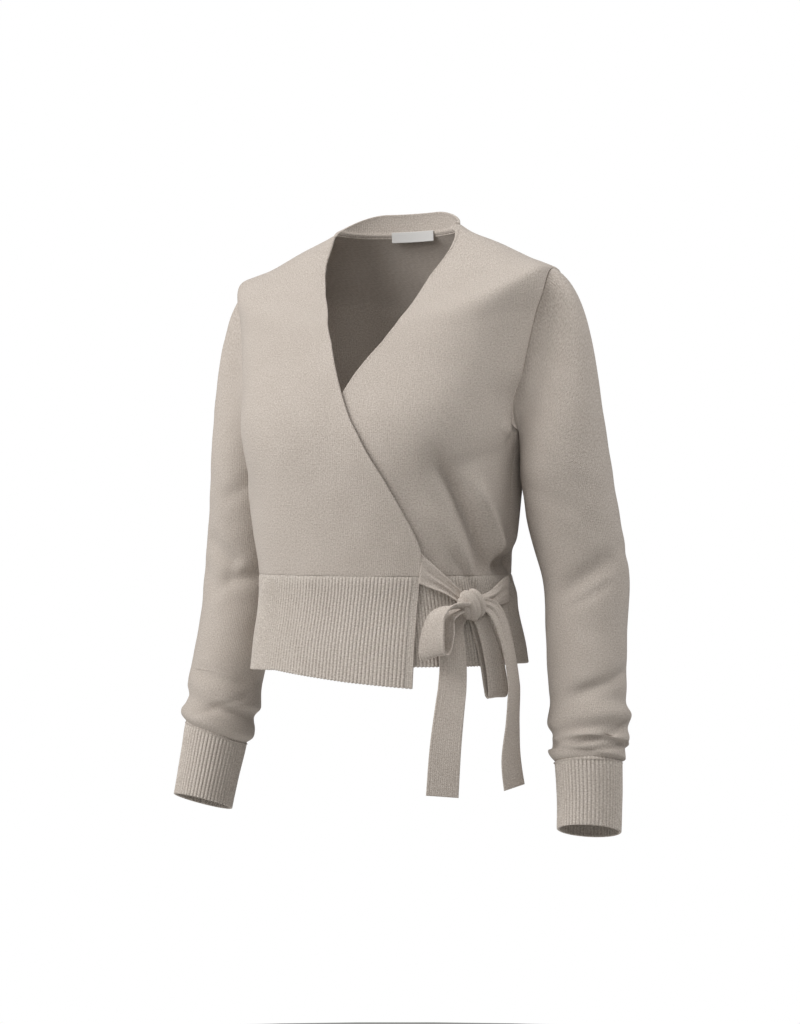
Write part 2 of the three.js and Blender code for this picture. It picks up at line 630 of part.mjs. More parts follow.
// A cuff: a short tube of rib.
function cuff(side) {
  const columns = CUFF_RIBS * 2;
  const start = ARM.length + GATHERS.left.length;
  const ring = (count, at) => steps(count).slice(0, -1).map((t) => sleevePoint(side, 360 * t, at));
  const stack = (count) => CUFF.map((_, i) => ring(count, start + i));
  const outer = movedOut(stack(columns), side, (p, k) => (k % 2 === 1 ? RIB_RISE : 0));
  const inner = movedOut(stack(columns / PARTS.ribSteps), side, () => -RIB_WALL);
  return wall(outer, inner, true);
}

// The band round the back of the neck. It is low at its ends and full height behind.
function neckband() {
  const rows = [0, 0.5, 1].map((up) =>
    steps(24).map((t) => {
      const around = between(NECKBAND.from, NECKBAND.to, t);
      const fromEnd = 90 - Math.abs(180 - around);
      const tall = between(NECKBAND.endHeight, NECKBAND.height, ease((fromEnd + NECKBAND.past) / NECKBAND.taper));
      const seam = bareBody(around, NECK);
      const rise = SEAM_GAP + tall * up;
      const inward = new THREE.Vector3(-seam.x, -seam.y, 0).normalize();
      return seam.addScaledVector(inward, NECKBAND.lean * tall * up * up).setZ(seam.z + rise);
    }),
  );
  const inside = rows.map((row) =>
    row.map((p, k) => {
      const along = row[Math.min(k + 1, 24)].clone().sub(row[Math.max(k - 1, 0)]);
      const inward = new THREE.Vector3(along.y, -along.x, 0).normalize();
      if (inward.dot(new THREE.Vector3(p.x, p.y, 0)) > 0) inward.negate();
      return p.clone().addScaledVector(inward, CLOTH);
    }),
  );
  return wall(rows, inside);
}

// The label inside the back of the neck. It hangs over the neck seam, on the band and the back alike.
function neckLabel() {
  const inside = CLOTH + NECK_LABEL.clear;
  const rows = [NECK_LABEL.low, 0, NECK_LABEL.high].map((z) =>
    steps(6).map((t) => {
      const x = between(NECK_LABEL.half, -NECK_LABEL.half, t);
      const around = 180 - (Math.asin(x / BODY[NECK].half) * 180) / Math.PI;
      const p = bareBody(around, NECK);
      const leanIn = z > 0 ? NECKBAND.lean * z : 0;
      return new THREE.Vector3(p.x, p.y - inside - leanIn - 0.25, p.z + z);
    }),
  );
  const front = rows.map((row) => row.map((p) => p.clone().add(new THREE.Vector3(0, -NECK_LABEL.thick, 0))));
  return wall(rows, front);
}

// A place out from the body over the hem or below it.
function overBody(around, z, out) {
  const lowest = BODY[0].sideZ;
  const p = body(around, levelAt(Math.max(z, lowest)), out);
  return z < lowest ? p.setZ(z) : p;
}

// One stretch of a tie along the rows of its table. Its width is square to its run where it is level, and
// keeps its own slant where it stands up. "grow" makes it thicker and wider, as a cutter.
function tieStretch(rows, grow = 0) {
  const middle = (at) => overBody(read(rows, "around", at), read(rows, "z", at), read(rows, "out", at));
  const last = rows.length - 1;
  let length = 0;
  for (const t of steps(60).slice(1)) length += middle(t * last).distanceTo(middle((t - 1 / 60) * last));
  const count = Math.max(rows.length + 1, Math.round(length / PARTS.tieStep));
  const faces = steps(count).map((t) => {
    const at = t * last;
    const here = middle(at);
    const along = middle(Math.min(at + 0.05, last)).sub(middle(Math.max(at - 0.05, 0))).normalize();
    const around = read(rows, "around", at);
    const level = overBody(around + 1, read(rows, "z", at), 0).sub(overBody(around - 1, read(rows, "z", at), 0));
    level.setZ(0).normalize();
    level.applyAxisAngle(new THREE.Vector3(0, 0, 1), radians(read(rows, "swing", at)));
    const rise = radians(read(rows, "rise", at));
    const across = level.multiplyScalar(Math.cos(rise)).add(new THREE.Vector3(0, 0, Math.sin(rise)));
    across.addScaledVector(along, -across.dot(along) * Math.cos(rise) ** 2).normalize();
    const out = new THREE.Vector3().crossVectors(along, across).normalize();
    const width = read(rows, "width", at) + 2 * grow;
    const section = (half) =>
      steps(PARTS.tieAcross).map((s) => {
        const gather = read(rows, "gather", at) * Math.cos(2 * Math.PI * TIE_GATHERS * s);
        return here.clone().addScaledVector(across, (s - 0.5) * width).addScaledVector(out, gather + half);
      });
    const half = TIE_THICK / 2 + grow;
    return { front: section(half), back: section(-half) };
  });
  return wall(
    faces.map((f) => f.front),
    faces.map((f) => f.back),
  );
}

// The knot: a fat barrel of cloth, wound about a slanting axis, with the turns of the winding raised.
function knot(grow = 0) {
  const centre = overBody(KNOT.around, KNOT.z, KNOT.out);
  const out = outward(bareBody, KNOT.around, levelAt(KNOT.z), 0.5, 0.02).setZ(0).normalize();
  const up = new THREE.Vector3(0, 0, 1);
  const level = new THREE.Vector3().crossVectors(up, out).normalize();
  const axis = level.clone().multiplyScalar(Math.cos(radians(KNOT.tilt)));
  axis.addScaledVector(up, -Math.sin(radians(KNOT.tilt)));
  const side = new THREE.Vector3().crossVectors(out, axis);
  const ball = mergeVertices(bareGeometry(new THREE.SphereGeometry(1, 18, 12)), 1e-4);
  const position = ball.getAttribute("position");
  for (let i = 0; i < position.count; i++) {
    const p = new THREE.Vector3().fromBufferAttribute(position, i);
    const turn = Math.atan2(p.z, p.x);
    const wrap = 1 + KNOT.wrapRise * Math.cos(KNOT.wraps * (p.y * 2.4 + turn));
    const fat = Math.hypot(p.x, p.z) ** -0.25 || 1;
    const round = wrap * Math.min(fat, 1.5);
    const q = centre
      .clone()
      .addScaledVector(axis, p.y * (KNOT.long + grow))
      .addScaledVector(side, p.x * (KNOT.tall + grow) * round)
      .addScaledVector(out, p.z * (KNOT.thick + grow) * round);
    position.setXYZ(i, q.x, q.y, q.z);
  }
  return surfaceOf(
    steps(position.count - 1).map((_, i) => new THREE.Vector3().fromBufferAttribute(position, i)),
    Array.from(ball.index.array),
  );
}

function bareGeometry(geometry) {
  const bare = new THREE.BufferGeometry();
  bare.setAttribute("position", geometry.getAttribute("position"));
  bare.setIndex(geometry.index);
  return bare;
}

function solidOf(geometry) {
  const merged = mergeVertices(bareGeometry(geometry), 1e-4);
  return new wasm.Manifold(
    new wasm.Mesh({
      numProp: 3,
      vertProperties: merged.getAttribute("position").array,
      triVerts: new Uint32Array(merged.index.array),
    }),
  );
}

// Cuts a piece back from the pieces that it meets, and keeps its largest body.
function trimmed(geometry, cutters) {
  let solid = solidOf(geometry);
  for (const cutter of cutters) solid = solid.subtract(cutter);
  const largest = solid.decompose().reduce((a, b) => (a.volume() > b.volume() ? a : b));
  const mesh = largest.getMesh();
  const cut = new THREE.BufferGeometry();
  cut.setAttribute("position", new THREE.BufferAttribute(new Float32Array(mesh.vertProperties), 3));
  cut.setIndex(new THREE.BufferAttribute(mesh.triVerts, 1));
  cut.computeVertexNormals();
  return cut;
}

const cardigan = new THREE.Group();

function addPiece(name, geometry, finish = KNIT) {
  const mesh = new THREE.Mesh(geometry, new THREE.MeshStandardMaterial({ ...finish, name }));
  mesh.name = name;
  cardigan.add(mesh);
}

// The body panels
addPiece("back", backPanel());
addPiece("front_left", frontPanel(1, EDGE_LEFT));
addPiece("front_right", frontPanel(-1, EDGE_RIGHT));

// The rib hem, in one piece under each panel
const underLayer = () => 0;
const hemEdge = (table, side) => (z) => side * edgeOf(table, levelAt(z), side);
addPiece(
  "hem_rib_back",
  hemRib(90 + SIDE_GAP, () => 270 - SIDE_GAP, (t) => between(HEM_LEFT[0].z, HEM_RIGHT[0].z, t), underLayer),
);
addPiece(
  "hem_rib_front_left",
  hemRib(90 - SIDE_GAP, hemEdge(EDGE_LEFT, 1), (t) => readAcross(HEM_LEFT, t), underLayer),
);
addPiece(
  "hem_rib_front_right",
  hemRib(-90 + SIDE_GAP, hemEdge(EDGE_RIGHT, -1), (t) => readAcross(HEM_RIGHT, t), wrapLift),
);

// The sleeves and their cuffs
for (const [name, side] of [["left", 1], ["right", -1]]) {
  addPiece("sleeve_" + name, sleeve(side));
  addPiece("cuff_" + name, cuff(side));
}

// The neck
addPiece("neckband", neckband());
addPiece("neck_label", neckLabel(), LABEL);

// The ties and the bow. The knot comes first, and each stretch is cut back from those before it.
const CLEAR = 0.35;
addPiece("bow_knot", knot());
const cutters = [solidOf(knot(CLEAR))];
for (const [name, rows] of Object.entries(TIES)) {
  addPiece(name, trimmed(tieStretch(rows), cutters));
  cutters.push(solidOf(tieStretch(rows, CLEAR)));
}

export default cardigan;
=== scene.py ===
"""A cropped wrap cardigan in fine knit, filled out as it is worn with nobody in it.

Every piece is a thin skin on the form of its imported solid, with the finer folds, ribs and turned edges
that the solid leaves out. Sizes in the tables are millimetres and degrees, in the garment's own frame:
+Z is up, -Y is the front and +X is the wearer's left. "Around" is 0 at centre front, 90 at the left side
seam and 180 at centre back.
"""

import bpy
import numpy as np
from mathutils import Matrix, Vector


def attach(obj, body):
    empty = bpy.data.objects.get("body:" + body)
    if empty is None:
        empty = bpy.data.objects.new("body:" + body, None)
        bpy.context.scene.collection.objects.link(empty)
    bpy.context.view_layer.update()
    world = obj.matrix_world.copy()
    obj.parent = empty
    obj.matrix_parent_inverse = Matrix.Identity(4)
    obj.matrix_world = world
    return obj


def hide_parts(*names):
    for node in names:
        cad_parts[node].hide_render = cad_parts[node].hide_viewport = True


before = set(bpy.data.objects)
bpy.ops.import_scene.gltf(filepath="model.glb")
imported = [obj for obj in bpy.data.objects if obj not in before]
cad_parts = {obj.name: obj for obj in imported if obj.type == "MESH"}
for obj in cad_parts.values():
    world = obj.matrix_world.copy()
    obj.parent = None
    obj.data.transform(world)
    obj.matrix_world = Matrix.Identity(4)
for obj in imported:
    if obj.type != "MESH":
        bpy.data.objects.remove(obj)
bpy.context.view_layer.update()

bl_info = {
    "name": "Wrap cardigan",
    "version": (1, 0, 0),
    "blender": (4, 5, 0),
    "location": "3D View > Sidebar > Cardigan",
    "description": "Builds a fine-knit wrap cardigan round its packed frame",
    "category": "Object",
}

MM = 0.001

# Sizes that the solids share
CLOTH = 2.2  # wall of the plain knit
RIB_WALL = 1.9  # wall of the rib at a groove
SEAM_ROUND = 0.35  # how much sharper an edge is at a seam than where it is free
WRAP_LIFT = CLOTH + 1.6  # how far the right front rides out over the left one
SIDE_GAP = 0.07  # half of the gap at a side seam, in degrees
CAMERA_DISTANCE = 2.6  # metres
WAIST_Z = -365
HEM_Z = -480
BUST = {"around": 35, "z": -208, "rise": 11, "around_reach": 21, "z_reach": 52}
ARMHOLE_FRONT, ARMHOLE_BACK = 14, 15  # how far each armhole cuts in from the side, in degrees
WAIST, ARMPIT, SHOULDER_TIP, NECK = 3, 7, 11, 14  # rows of BODY
CAP_FULLNESS, CAP_HANG = 0.78, 1.2
ARM_SHIFT = {"left": -6, "right": 6}
NECKBAND = {"from": 84, "to": 284, "height": 23.5, "end_height": 2.6, "past": 16, "taper": 80, "lean": 0.16}
NECK_LABEL = {"half": 25.5, "low": -7, "high": 4.5, "thick": 1, "clear": 0.5}
TIE_THICK = 2.6
TIE_GATHERS = 2
# Place across the knot and depth of each of its folds
KNOT_FOLDS = ((-0.52, 1.3), (-0.05, 0.9), (0.4, 1.2))
KNOT_FOLD_REACH = 0.085
KNOT = {"around": 57, "z": -394.5, "out": 17, "long": 13.5, "tall": 16.5, "thick": 11, "tilt": -28}


def columns(names, *rows):
    """A table of rows, as one array for each of its named columns."""
    return {name: np.array(values, float) for name, values in zip(names.split(), zip(*rows))}


# The columns of a sleeve's rings, and of a stretch of a tie
RING = "x y z across deep lean tip"
STRETCH = "around z out width rise swing gather"

BODY = columns(
    "half side_y front_y back_y side_z front_z back_z square",
    (154, -20, -137, 95, -480, -480, -480, 2.2),  # hem
    (149, -22, -134, 90, -440, -440, -440, 2.2),  # low rib
    (142, -25, -131, 80, -400, -400, -400, 2.2),  # mid rib
    (139, -28, -134, 75, -365, -365, -365, 2.2),  # waist
    (144, -30, -140, 79, -325, -325, -325, 2.2),  # over waist
    (148, -30, -145, 85, -285, -285, -285, 2.2),  # low chest
    (150, -28, -148, 91, -248, -248, -248, 2.25),  # under bust
    (156, -20, -146, 95, -218, -214, -214, 2.3),  # armpit
    (158, -10, -138, 97, -178, -180, -174, 2.5),  # over armpit
    (163, -2, -128, 97, -136, -150, -138, 2.65),  # mid armhole
    (170, 3, -116, 93, -92, -122, -104, 2.7),  # high armhole
    (180, 6, -104, 84, -44, -104, -72, 2.6),  # shoulder tip
    (150, 7, -94, 73, -33, -96, -48, 2.3),  # outer shoulder
    (112, 5, -82, 58, -15, -88, -22, 2.15),  # inner shoulder
    (72, 0, -66, 40, 0, -80, -1, 2),  # neck
)
EDGE_RIGHT = columns(
    "z out",
    (0, 66.5), (-8, 66), (-19.5, 64.5), (-34, 63.5), (-50, 59), (-72, 49), (-98, 31), (-125, 15),
    (-158, 0), (-186, -13), (-208, -24.5), (-221, -33), (-239, -43), (-265, -58.5), (-290, -70.5),
    (-317, -82.5), (-330, -87), (-341, -89.5), (-353, -88), (-372, -86), (-400, -83), (-430, -82.5),
    (-490, -82),
)
EDGE_LEFT = columns(
    "z out",
    (0, 70), (-2, 71.5), (-4.7, 76.4), (-13, 79.6), (-26, 80.1), (-40.5, 76), (-54.6, 69), (-82, 62),
    (-95, 58.5), (-109, 53.5), (-127, 43.5), (-143, 31), (-159, 20), (-178, 9.5), (-213, -9),
    (-240, -26), (-271, -44), (-300, -59), (-327, -70), (-365, -78), (-490, -79),
)
HEM_RIGHT = columns(
    "share z",
    (0, -470), (0.5, -464), (0.78, -473), (1, -478.5),
)
HEM_LEFT = columns(
    "share z",
    (0, -456), (1, -457),
)
ARM = columns(
    RING,
    (193, 15, -262, 46, 55, 0, 0),  # upper arm
    (200, 21, -315, 47, 51.5, 0, 0),  # over elbow
    (211, 25, -370, 44.5, 47, 0, 0),  # elbow
    (215, 16, -425, 42, 44, 0, 0),  # forearm
    (221, 5, -475, 40, 42, 0, 0),  # low forearm
)
GATHERS = {
    "left": columns(
        RING,
        (223, 2, -496, 38.5, 40, 0, 1),
        (225.5, -1, -512, 43.8, 42, 1, -2),
        (227, -3, -524, 38.5, 39, 2, -2),
        (229.5, -5, -534, 40, 41.5, 2, 1),
        (227.5, -7, -541, 37.5, 38.5, 3, 2),
        (226.5, -9, -549, 40, 40.5, 1, 0),
        (229.3, -11, -556, 32, 33, 0, 0),
    ),
    "right": columns(
        RING,
        (221, 1, -486, 39.5, 41, 3, 2),
        (221.5, -1, -500, 41, 42, 6, 1),
        (222, -2, -507, 41, 42, 7, 0),
        (224, -4, -517, 37, 38, 6, 0),
        (226, -6, -528, 41, 42, 6, 1),
        (227, -8, -538, 40.5, 41.5, 6, 1),
        (227.5, -9, -546, 32, 33, 6.3, 1),
    ),
}
# Each cuff starts up inside the last roll of its sleeve
CUFFS = {
    "left": columns(
        RING,
        (228, -9, -549, 32.5, 33.5, 0, 0),
        (229.5, -11.5, -557.3, 33.5, 34.5, 0, 0),
        (233, -17, -590, 32.5, 33.5, 0, 2),
        (235.5, -24, -623.5, 31.8, 33, 0, 4),
    ),
    "right": columns(
        RING,
        (226.5, -8, -538, 32.5, 33.5, 6, 1),
        (227.8, -9.5, -547, 33.6, 34.6, 6.3, 1),
        (233, -17, -590, 32.5, 33.5, 2, 2),
        (235.5, -24, -621, 31.8, 33, 0, 4),
    ),
}
TIE_RIGHT_STRAP = columns(
    STRETCH,
    (37.95, -356.5, 3.7, 30.5, 86, 0, 0),
    (41, -362.7, 5, 25, 80, 0, 0.8),
    (44.8, -369.2, 7.5, 19.5, 74, 0, 1.2),
    (48.6, -376, 10, 14.5, 67, 0, 1.6),
    (52.5, -385, 13, 12, 62, 0, 1.6),
    (57, -393, 15, 11, 62, 0, 1.6),
)
TIE_LEFT_STRAP = columns(
    STRETCH,
    (89, -379, 4.2, 28, 90, 0, 0),
    (80, -383, 7.5, 25, 95, 0, 0.8),
    (70, -390, 11, 18, 105, 0, 1.6),
    (60, -394, 14, 13, 110, 0, 1.6),
)
BOW_LOOP_FRONT = columns(
    STRETCH,
    (56, -396, 22, 12, 20, -34, 1),
    (47, -396, 27, 14, 14, -38, 0.6),
    (41.8, -407, 29.5, 21, 6, -38, 0.2),
    (39.5, -428, 29.5, 28, 8, -36, 0),
    (39.2, -445, 24, 30, 20, -34, 0),
    (41.2, -443, 19.5, 30, 16, -32, 0),
    (43.3, -426, 18.5, 28, 8, -32, 0),
    (46.2, -407, 18, 21, 6, -32, 0.4),
    (56, -397, 16, 12, 14, -34, 0.8),
)
BOW_LOOP_BACK = columns(
    STRETCH,
    (59, -399, 13, 13, -15, 0, 0),
    (62, -418, 14, 17, -6, -4, 0),
    (65, -450, 13, 21.5, 0, -6, 0),
    (66.2, -481, 11.5, 23.5, 4, -6, 0),
    (66.2, -487, 7.8, 23.5, 4, -6, 0),
    (66.2, -478, 4.4, 23.5, 4, -6, 0),
    (65, -450, 4.2, 21.5, 0, -6, 0),
    (62, -420, 4.6, 17, -6, -4, 0),
    (59, -400, 8, 13, -15, 0, 0),
)
BOW_TAIL_FRONT = columns(
    STRETCH,
    (55, -399, 9, 16, 0, -10, 0.8),
    (49.5, -414.8, 4.8, 22, 0, -8, 0.4),
    (48.1, -436.9, 4.6, 27, 0, -4, 0),
    (47.4, -461.9, 6, 28, 0, -6, 0),
    (45.3, -498.2, 10, 30, 0, -12, 0),
    (43.5, -539.2, 12, 32, 0, -14, 0),
    (42.4, -586.5, 11, 33, -3, -10, 0),
)
BOW_TAIL_BACK = columns(
    STRETCH,
    (59, -394, 18, 13, 45, 0, 1),
    (64, -397, 22, 16, 45, 6, 0.6),
    (67.5, -409, 23, 20, 30, 14, 0),
    (70, -434, 22, 25, 10, 24, 0),
    (72, -472, 20, 30, 0, 24, 0),
    (71.5, -515, 19, 31, 0, 20, 0),
    (71, -550, 18, 32, 2, 10, 0),
    (72.5, -580, 19, 32, 10, 4, 0),
)

SLEEVE = {
    hand: {name: np.concatenate([ARM[name], GATHERS[hand][name], CUFFS[hand][name][1:]]) for name in ARM}
    for hand in GATHERS
}
SLEEVE_END = 11  # the row of SLEEVE where the cuff is sewn on
STRAP_TUCK = np.array([0.8, 0.2, 0, 0, 0, 0])  # its sewn end goes in under the front's turned edge
TIE_PIECES = {
    "right_tie": ("tie_right_strap", {**TIE_RIGHT_STRAP, "around": TIE_RIGHT_STRAP["around"] - STRAP_TUCK}),
    "left_tie": ("tie_left_strap", TIE_LEFT_STRAP),
    "front_loop": ("bow_loop_front", BOW_LOOP_FRONT),
    "back_loop": ("bow_loop_back", BOW_LOOP_BACK),
    "front_tail": ("bow_tail_front", BOW_TAIL_FRONT),
    "back_tail": ("bow_tail_back", BOW_TAIL_BACK),
}
# Creases of a tie: share along and across where it starts, the same where it ends, depth and reach
TIE_CREASES = {
    "right_tie": ((0.1, 0.62, 1.0, 0.5, 2.6, 3.0), (0.25, 0.3, 1.0, 0.35, 1.2, 2.2)),
    "left_tie": ((0.1, 0.4, 1.0, 0.45, 1.6, 2.5),),
    "front_loop": ((0.0, 0.4, 0.25, 0.5, 1.4, 2.5),),
    "front_tail": ((0.0, 0.35, 0.3, 0.45, 1.2, 3.0),),
    "back_tail": ((0.0, 0.4, 0.35, 0.35, 1.2, 3.0),),
}

# Folds are soft troughs from one place to another, and a negative depth is a ridge.
FOLD = "from_around from_z to_around to_z depth reach"
BODY_FOLDS = columns(
    FOLD,
    (38, -222, 74, -372, 10, 10),  # from the bust down to the bow
    (56, -250, 84, -345, -4, 12),
    (72, -357, 118, -351, 13, 13),  # where the tie draws in the left side
    (76, -389, 112, -386, -2, 11),
    (74, -30, 72, -175, -7, 22),  # the fronts stay full up to the armholes
    (-74, -30, -72, -175, -7, 22),
)
FRONT_CREASES = columns(
    FOLD,
    (40, -232, 76, -362, 4.5, 6),  # the trough is deeper and sharper on the way down to the tie
    (58, -262, 86, -345, -5, 9),
    (36, -285, 64, -358, -2.5, 7),
    (49, -333, 66, -386, 2.4, 5),
    (79, -245, 84, -175, 4, 7),  # under the armhole, where the side hangs in
    (88, -222, 70, -212, -2.5, 7),
    (60, -368, 92, -366, -1.4, 5),
    (86, -232, 40, -262, 1.4, 9),
    (20, -300, 46, -352, 1.1, 8),
    (-70, -232, -40, -300, 1.2, 12),
    (-88, -300, -60, -352, 1.3, 11),
    (-60, -372, -30, -420, 0.8, 9),
    (100, -372, 128, -330, 1.6, 10),
    (150, -360, 190, -330, 1.5, 14),
    (215, -368, 250, -336, 1.6, 12),
    (140, -210, 172, -300, 1.2, 14),
    (222, -222, 188, -310, 1.2, 14),
    (118, -150, 150, -178, 1.2, 12),
    (242, -150, 212, -182, 1.2, 12),
)
SLEEVE_FOLDS = {
    "left": columns(
        FOLD,
        (122, -391, 15, -342, 5, 10),
        (110, -490, -10, -462, 3, 8),
        (100, -402, 30, -372, 1.6, 6),
        (150, -262, 60, -300, 1.5, 9),
        (30, -330, -60, -352, 1.6, 9),
        (-20, -372, -110, -350, 1.8, 9),
        (-70, -420, -150, -396, 1.5, 9),
        (112, -536, -12, -515, 3.2, 4.5),
        (170, -535, 50, -542, 3, 4.5),
        (100, -541, -40, -534, 2.2, 4),
        (104, -486, -20, -462, 1.8, 6),
        (-60, -500, -150, -512, 1.6, 6),
        (200, -540, 250, -532, 1.5, 5),
    ),
    "right": columns(
        FOLD,
        (45, -322, 112, -360, 4, 10),
        (78, -377, 150, -370, 4.5, 9),
        (40, -472, 165, -489, 3, 8),
        (30, -350, 90, -392, 1.5, 8),
        (150, -252, 80, -290, 1.4, 9),
        (-20, -352, -100, -382, 1.7, 9),
        (-80, -420, -150, -402, 1.5, 9),
        (10, -509, 215, -526, 2.6, 4.5),
        (60, -528, 170, -500, 1.8, 5),
        (20, -488, 120, -506, 1.5, 6),
        (-40, -516, -130, -508, 1.6, 6),
        (-60, -516, 40, -512, 1.8, 4.5),
    ),
}


def linear(colour):
    """An sRGB hex colour as Blender's linear red, green and blue."""
    parts = [((colour >> shift) & 255) / 255 for shift in (16, 8, 0)]
    return tuple(p / 12.92 if p <= 0.04045 else ((p + 0.055) / 1.055) ** 2.4 for p in parts)


# The shapes of the garment


def ease(t):
    """A soft step from 0 to 1."""
    c = np.clip(t, 0, 1)
    return c * c * (3 - 2 * c)


def unit(v):
    return v / np.maximum(np.linalg.norm(v, axis=-1, keepdims=True), 1e-9)


def read(table, column, at):
    """A column of a table, read between its rows on a smooth curve."""
    values = table[column]
    last = len(values) - 1
    i = np.clip(np.floor(at).astype(int), 0, last - 1)
    t = at - i
    a, b, c, d = (values[np.clip(i + k, 0, last)] for k in (-1, 0, 1, 2))
    return 0.5 * (2 * b + (c - a) * t + (2 * a - 5 * b + 4 * c - d) * t**2 + (3 * b - a - 3 * c + d) * t**3)


def fold_depth(folds, around, z, per_degree):
    """How deep a set of folds is, given the millimetres that one degree is worth."""
    total = np.zeros(np.broadcast(around, z).shape)
    for i, depth in enumerate(folds["depth"]):
        run_u = (folds["to_around"][i] - folds["from_around"][i]) * per_degree
        run_v = folds["to_z"][i] - folds["from_z"][i]
        long = np.hypot(run_u, run_v)
        here_u = (around - folds["from_around"][i]) * per_degree
        here_v = z - folds["from_z"][i]
        along = (here_u * run_u + here_v * run_v) / long
        off = (here_u * run_v - here_v * run_u) / long
        ends = ease(along / (0.35 * long)) * ease((long - along) / (0.25 * long) + 0.4)
        total = total + depth * ends * np.exp(-((off / folds["reach"][i]) ** 2))
    return total


def slack(u, v, seed):
    """The soft unevenness of hanging cloth, from -1 to 1, at a place in millimetres."""
    total = 0
    for k in range(5):
        turn = seed * 1.7 + k * 2.4
        length = 31 + 15 * k
        along = u * np.cos(turn) + v * np.sin(turn)
        total = total + np.sin(2 * np.pi * along / length + seed * 3.1 + k * 1.9)
    return total / 5


def neck_climb(around):
    """How far the cloth climbs beside the neck, most of all on the left."""
    turn = np.radians(around)
    return np.where(np.sin(turn) > 0, 5, 1.2) * np.exp(-((np.cos(turn) / 0.45) ** 2))


def bare_body(around, level):
    """The outer face of the body without bust or folds. Level counts the rows of BODY."""
    around, level = np.broadcast_arrays(np.asarray(around, float), np.asarray(level, float))
    s, c = np.sin(np.radians(around)), np.cos(np.radians(around))
    power = read(BODY, "square", level)
    r = (np.abs(s) ** power + np.abs(c) ** power) ** (-1 / power)
    reach = np.abs(c) * r
    end_y = np.where(c >= 0, read(BODY, "front_y", level), read(BODY, "back_y", level))
    end_z = np.where(c >= 0, read(BODY, "front_z", level), read(BODY, "back_z", level))
    side_y, side_z = read(BODY, "side_y", level), read(BODY, "side_z", level)
    x = read(BODY, "half", level) * s * r
    # The shoulder climbs to the neckband, and slopes on down into the sleeve
    climb = neck_climb(around) * np.exp(-(((NECK - level) / 0.32) ** 2))
    slope = 4.7 * np.exp(-(((level - SHOULDER_TIP - 0.3) / 0.42) ** 2) - (c / 0.62) ** 2)
    z = side_z + (end_z - side_z) * reach**2 + climb - slope
    return np.stack([x, side_y + (end_y - side_y) * reach, z], axis=-1)


def body(around, level, creases=None):
    """The outer face of the body and the direction straight out of it."""
    p = bare_body(around, level)
    out = unit(
        np.cross(
            bare_body(around + 0.5, level) - bare_body(around - 0.5, level),
            bare_body(around, level + 0.02) - bare_body(around, level - 0.02),
        )
    )
    z = p[..., 2]
    bust = BUST["rise"] * np.exp(
        -(((np.abs(around) - BUST["around"]) / BUST["around_reach"]) ** 2)
        - ((z - BUST["z"]) / BUST["z_reach"]) ** 2
    )
    height = bust - fold_depth(BODY_FOLDS, around, z, 2.5)
    if creases is not None:
        height = height - fold_depth(creases, around, z, 2.5)
    return p + out * height[..., None], out


FINE_LEVELS = np.linspace(0, ARMPIT - 1, 2400)
FINE_HEIGHTS = read(BODY, "side_z", FINE_LEVELS)


def level_at(z):
    """The level of the body's rings at a height, below the armpit."""
    return np.interp(z, FINE_HEIGHTS, FINE_LEVELS)


def edge_of(table, levels, side):
    """Degrees from centre front to the free edge of a front, towards its own side seam."""
    levels = np.atleast_1d(np.asarray(levels, float))

    def past(around):
        p = bare_body(around * side, levels)
        return p[..., 0] * side - np.interp(-p[..., 2], -table["z"], table["out"]) > 0

    high = np.full(levels.shape, 90.0)
    for _ in range(86):
        high = np.where((high > -80) & past(high), high - 2, high)
    low, high = high, high + 2
    for _ in range(26):
        middle = (low + high) / 2
        over = past(middle)
        low, high = np.where(over, low, middle), np.where(over, middle, high)
    return high


ALL_LEVELS = np.linspace(0, NECK, 700)
HIDDEN_EDGE = edge_of(EDGE_LEFT, ALL_LEVELS, 1)


def wrap_lift(around, level):
    """How far the right front is lifted where the left front lies under it."""
    return WRAP_LIFT * ease((around - np.interp(level, ALL_LEVELS, HIDDEN_EDGE) + 30) / 24)


def armhole_cut(t, depth):
    return depth * (1 - np.abs(2 * np.clip(t, 0, 1) - 1) ** 5) ** 0.6


def armhole_levels(shares):
    """Levels at shares of the way up the armhole's front edge."""
    t = np.linspace(0, 1, 401)
    p = bare_body(90 - armhole_cut(t, ARMHOLE_FRONT), ARMPIT + (SHOULDER_TIP - ARMPIT) * t)
    run = np.concatenate([[0], np.cumsum(np.linalg.norm(np.diff(p, axis=0), axis=-1))])
    return ARMPIT + (SHOULDER_TIP - ARMPIT) * np.interp(np.asarray(shares) * run[-1], run, t)


def side_of(level, depth):
    """Degrees round from centre front or back at which a panel ends at the side."""
    return 90 - armhole_cut((level - ARMPIT) / (SHOULDER_TIP - ARMPIT), depth)


def spaced(length, step, start=True, end=True):
    """Shares from 0 to 1 along a length, with closer ones beside the ends that are edges."""
    near = np.array([0, 0.2, 0.5, 1.0, 1.7, 2.6])
    low = near if start else near[:1]
    high = length - (near if end else near[:1])[::-1]
    count = max(2, int(round((high[0] - low[-1]) / step)))
    return np.concatenate([low[:-1], np.linspace(low[-1], high[0], count + 1), high[1:]]) / length


def runs(points, axis):
    """Distances along a grid of points from its first row or column, and from its last."""
    steps = np.linalg.norm(np.diff(points, axis=axis), axis=-1)
    none = np.zeros_like(np.take(steps, [0], axis=axis))
    before = np.concatenate([none, np.cumsum(steps, axis=axis)], axis=axis)
    return before, np.take(before, [-1], axis=axis) - before


def edge_round(distance, radius):
    """How much of the cloth's thickness is left at a distance from an edge, so that the edge is round."""
    return np.sqrt(np.maximum(0, 1 - (1 - np.clip(distance / radius, 0, 1)) ** 2))


def two_faces(points, out, high, low, full):
    """The outer and inner face of a cloth that draw together where less than the full thickness is left."""
    middle, half = (high + low) / 2, (high - low) / 2 * full
    return points + out * (middle + half)[..., None], points + out * (middle - half)[..., None]


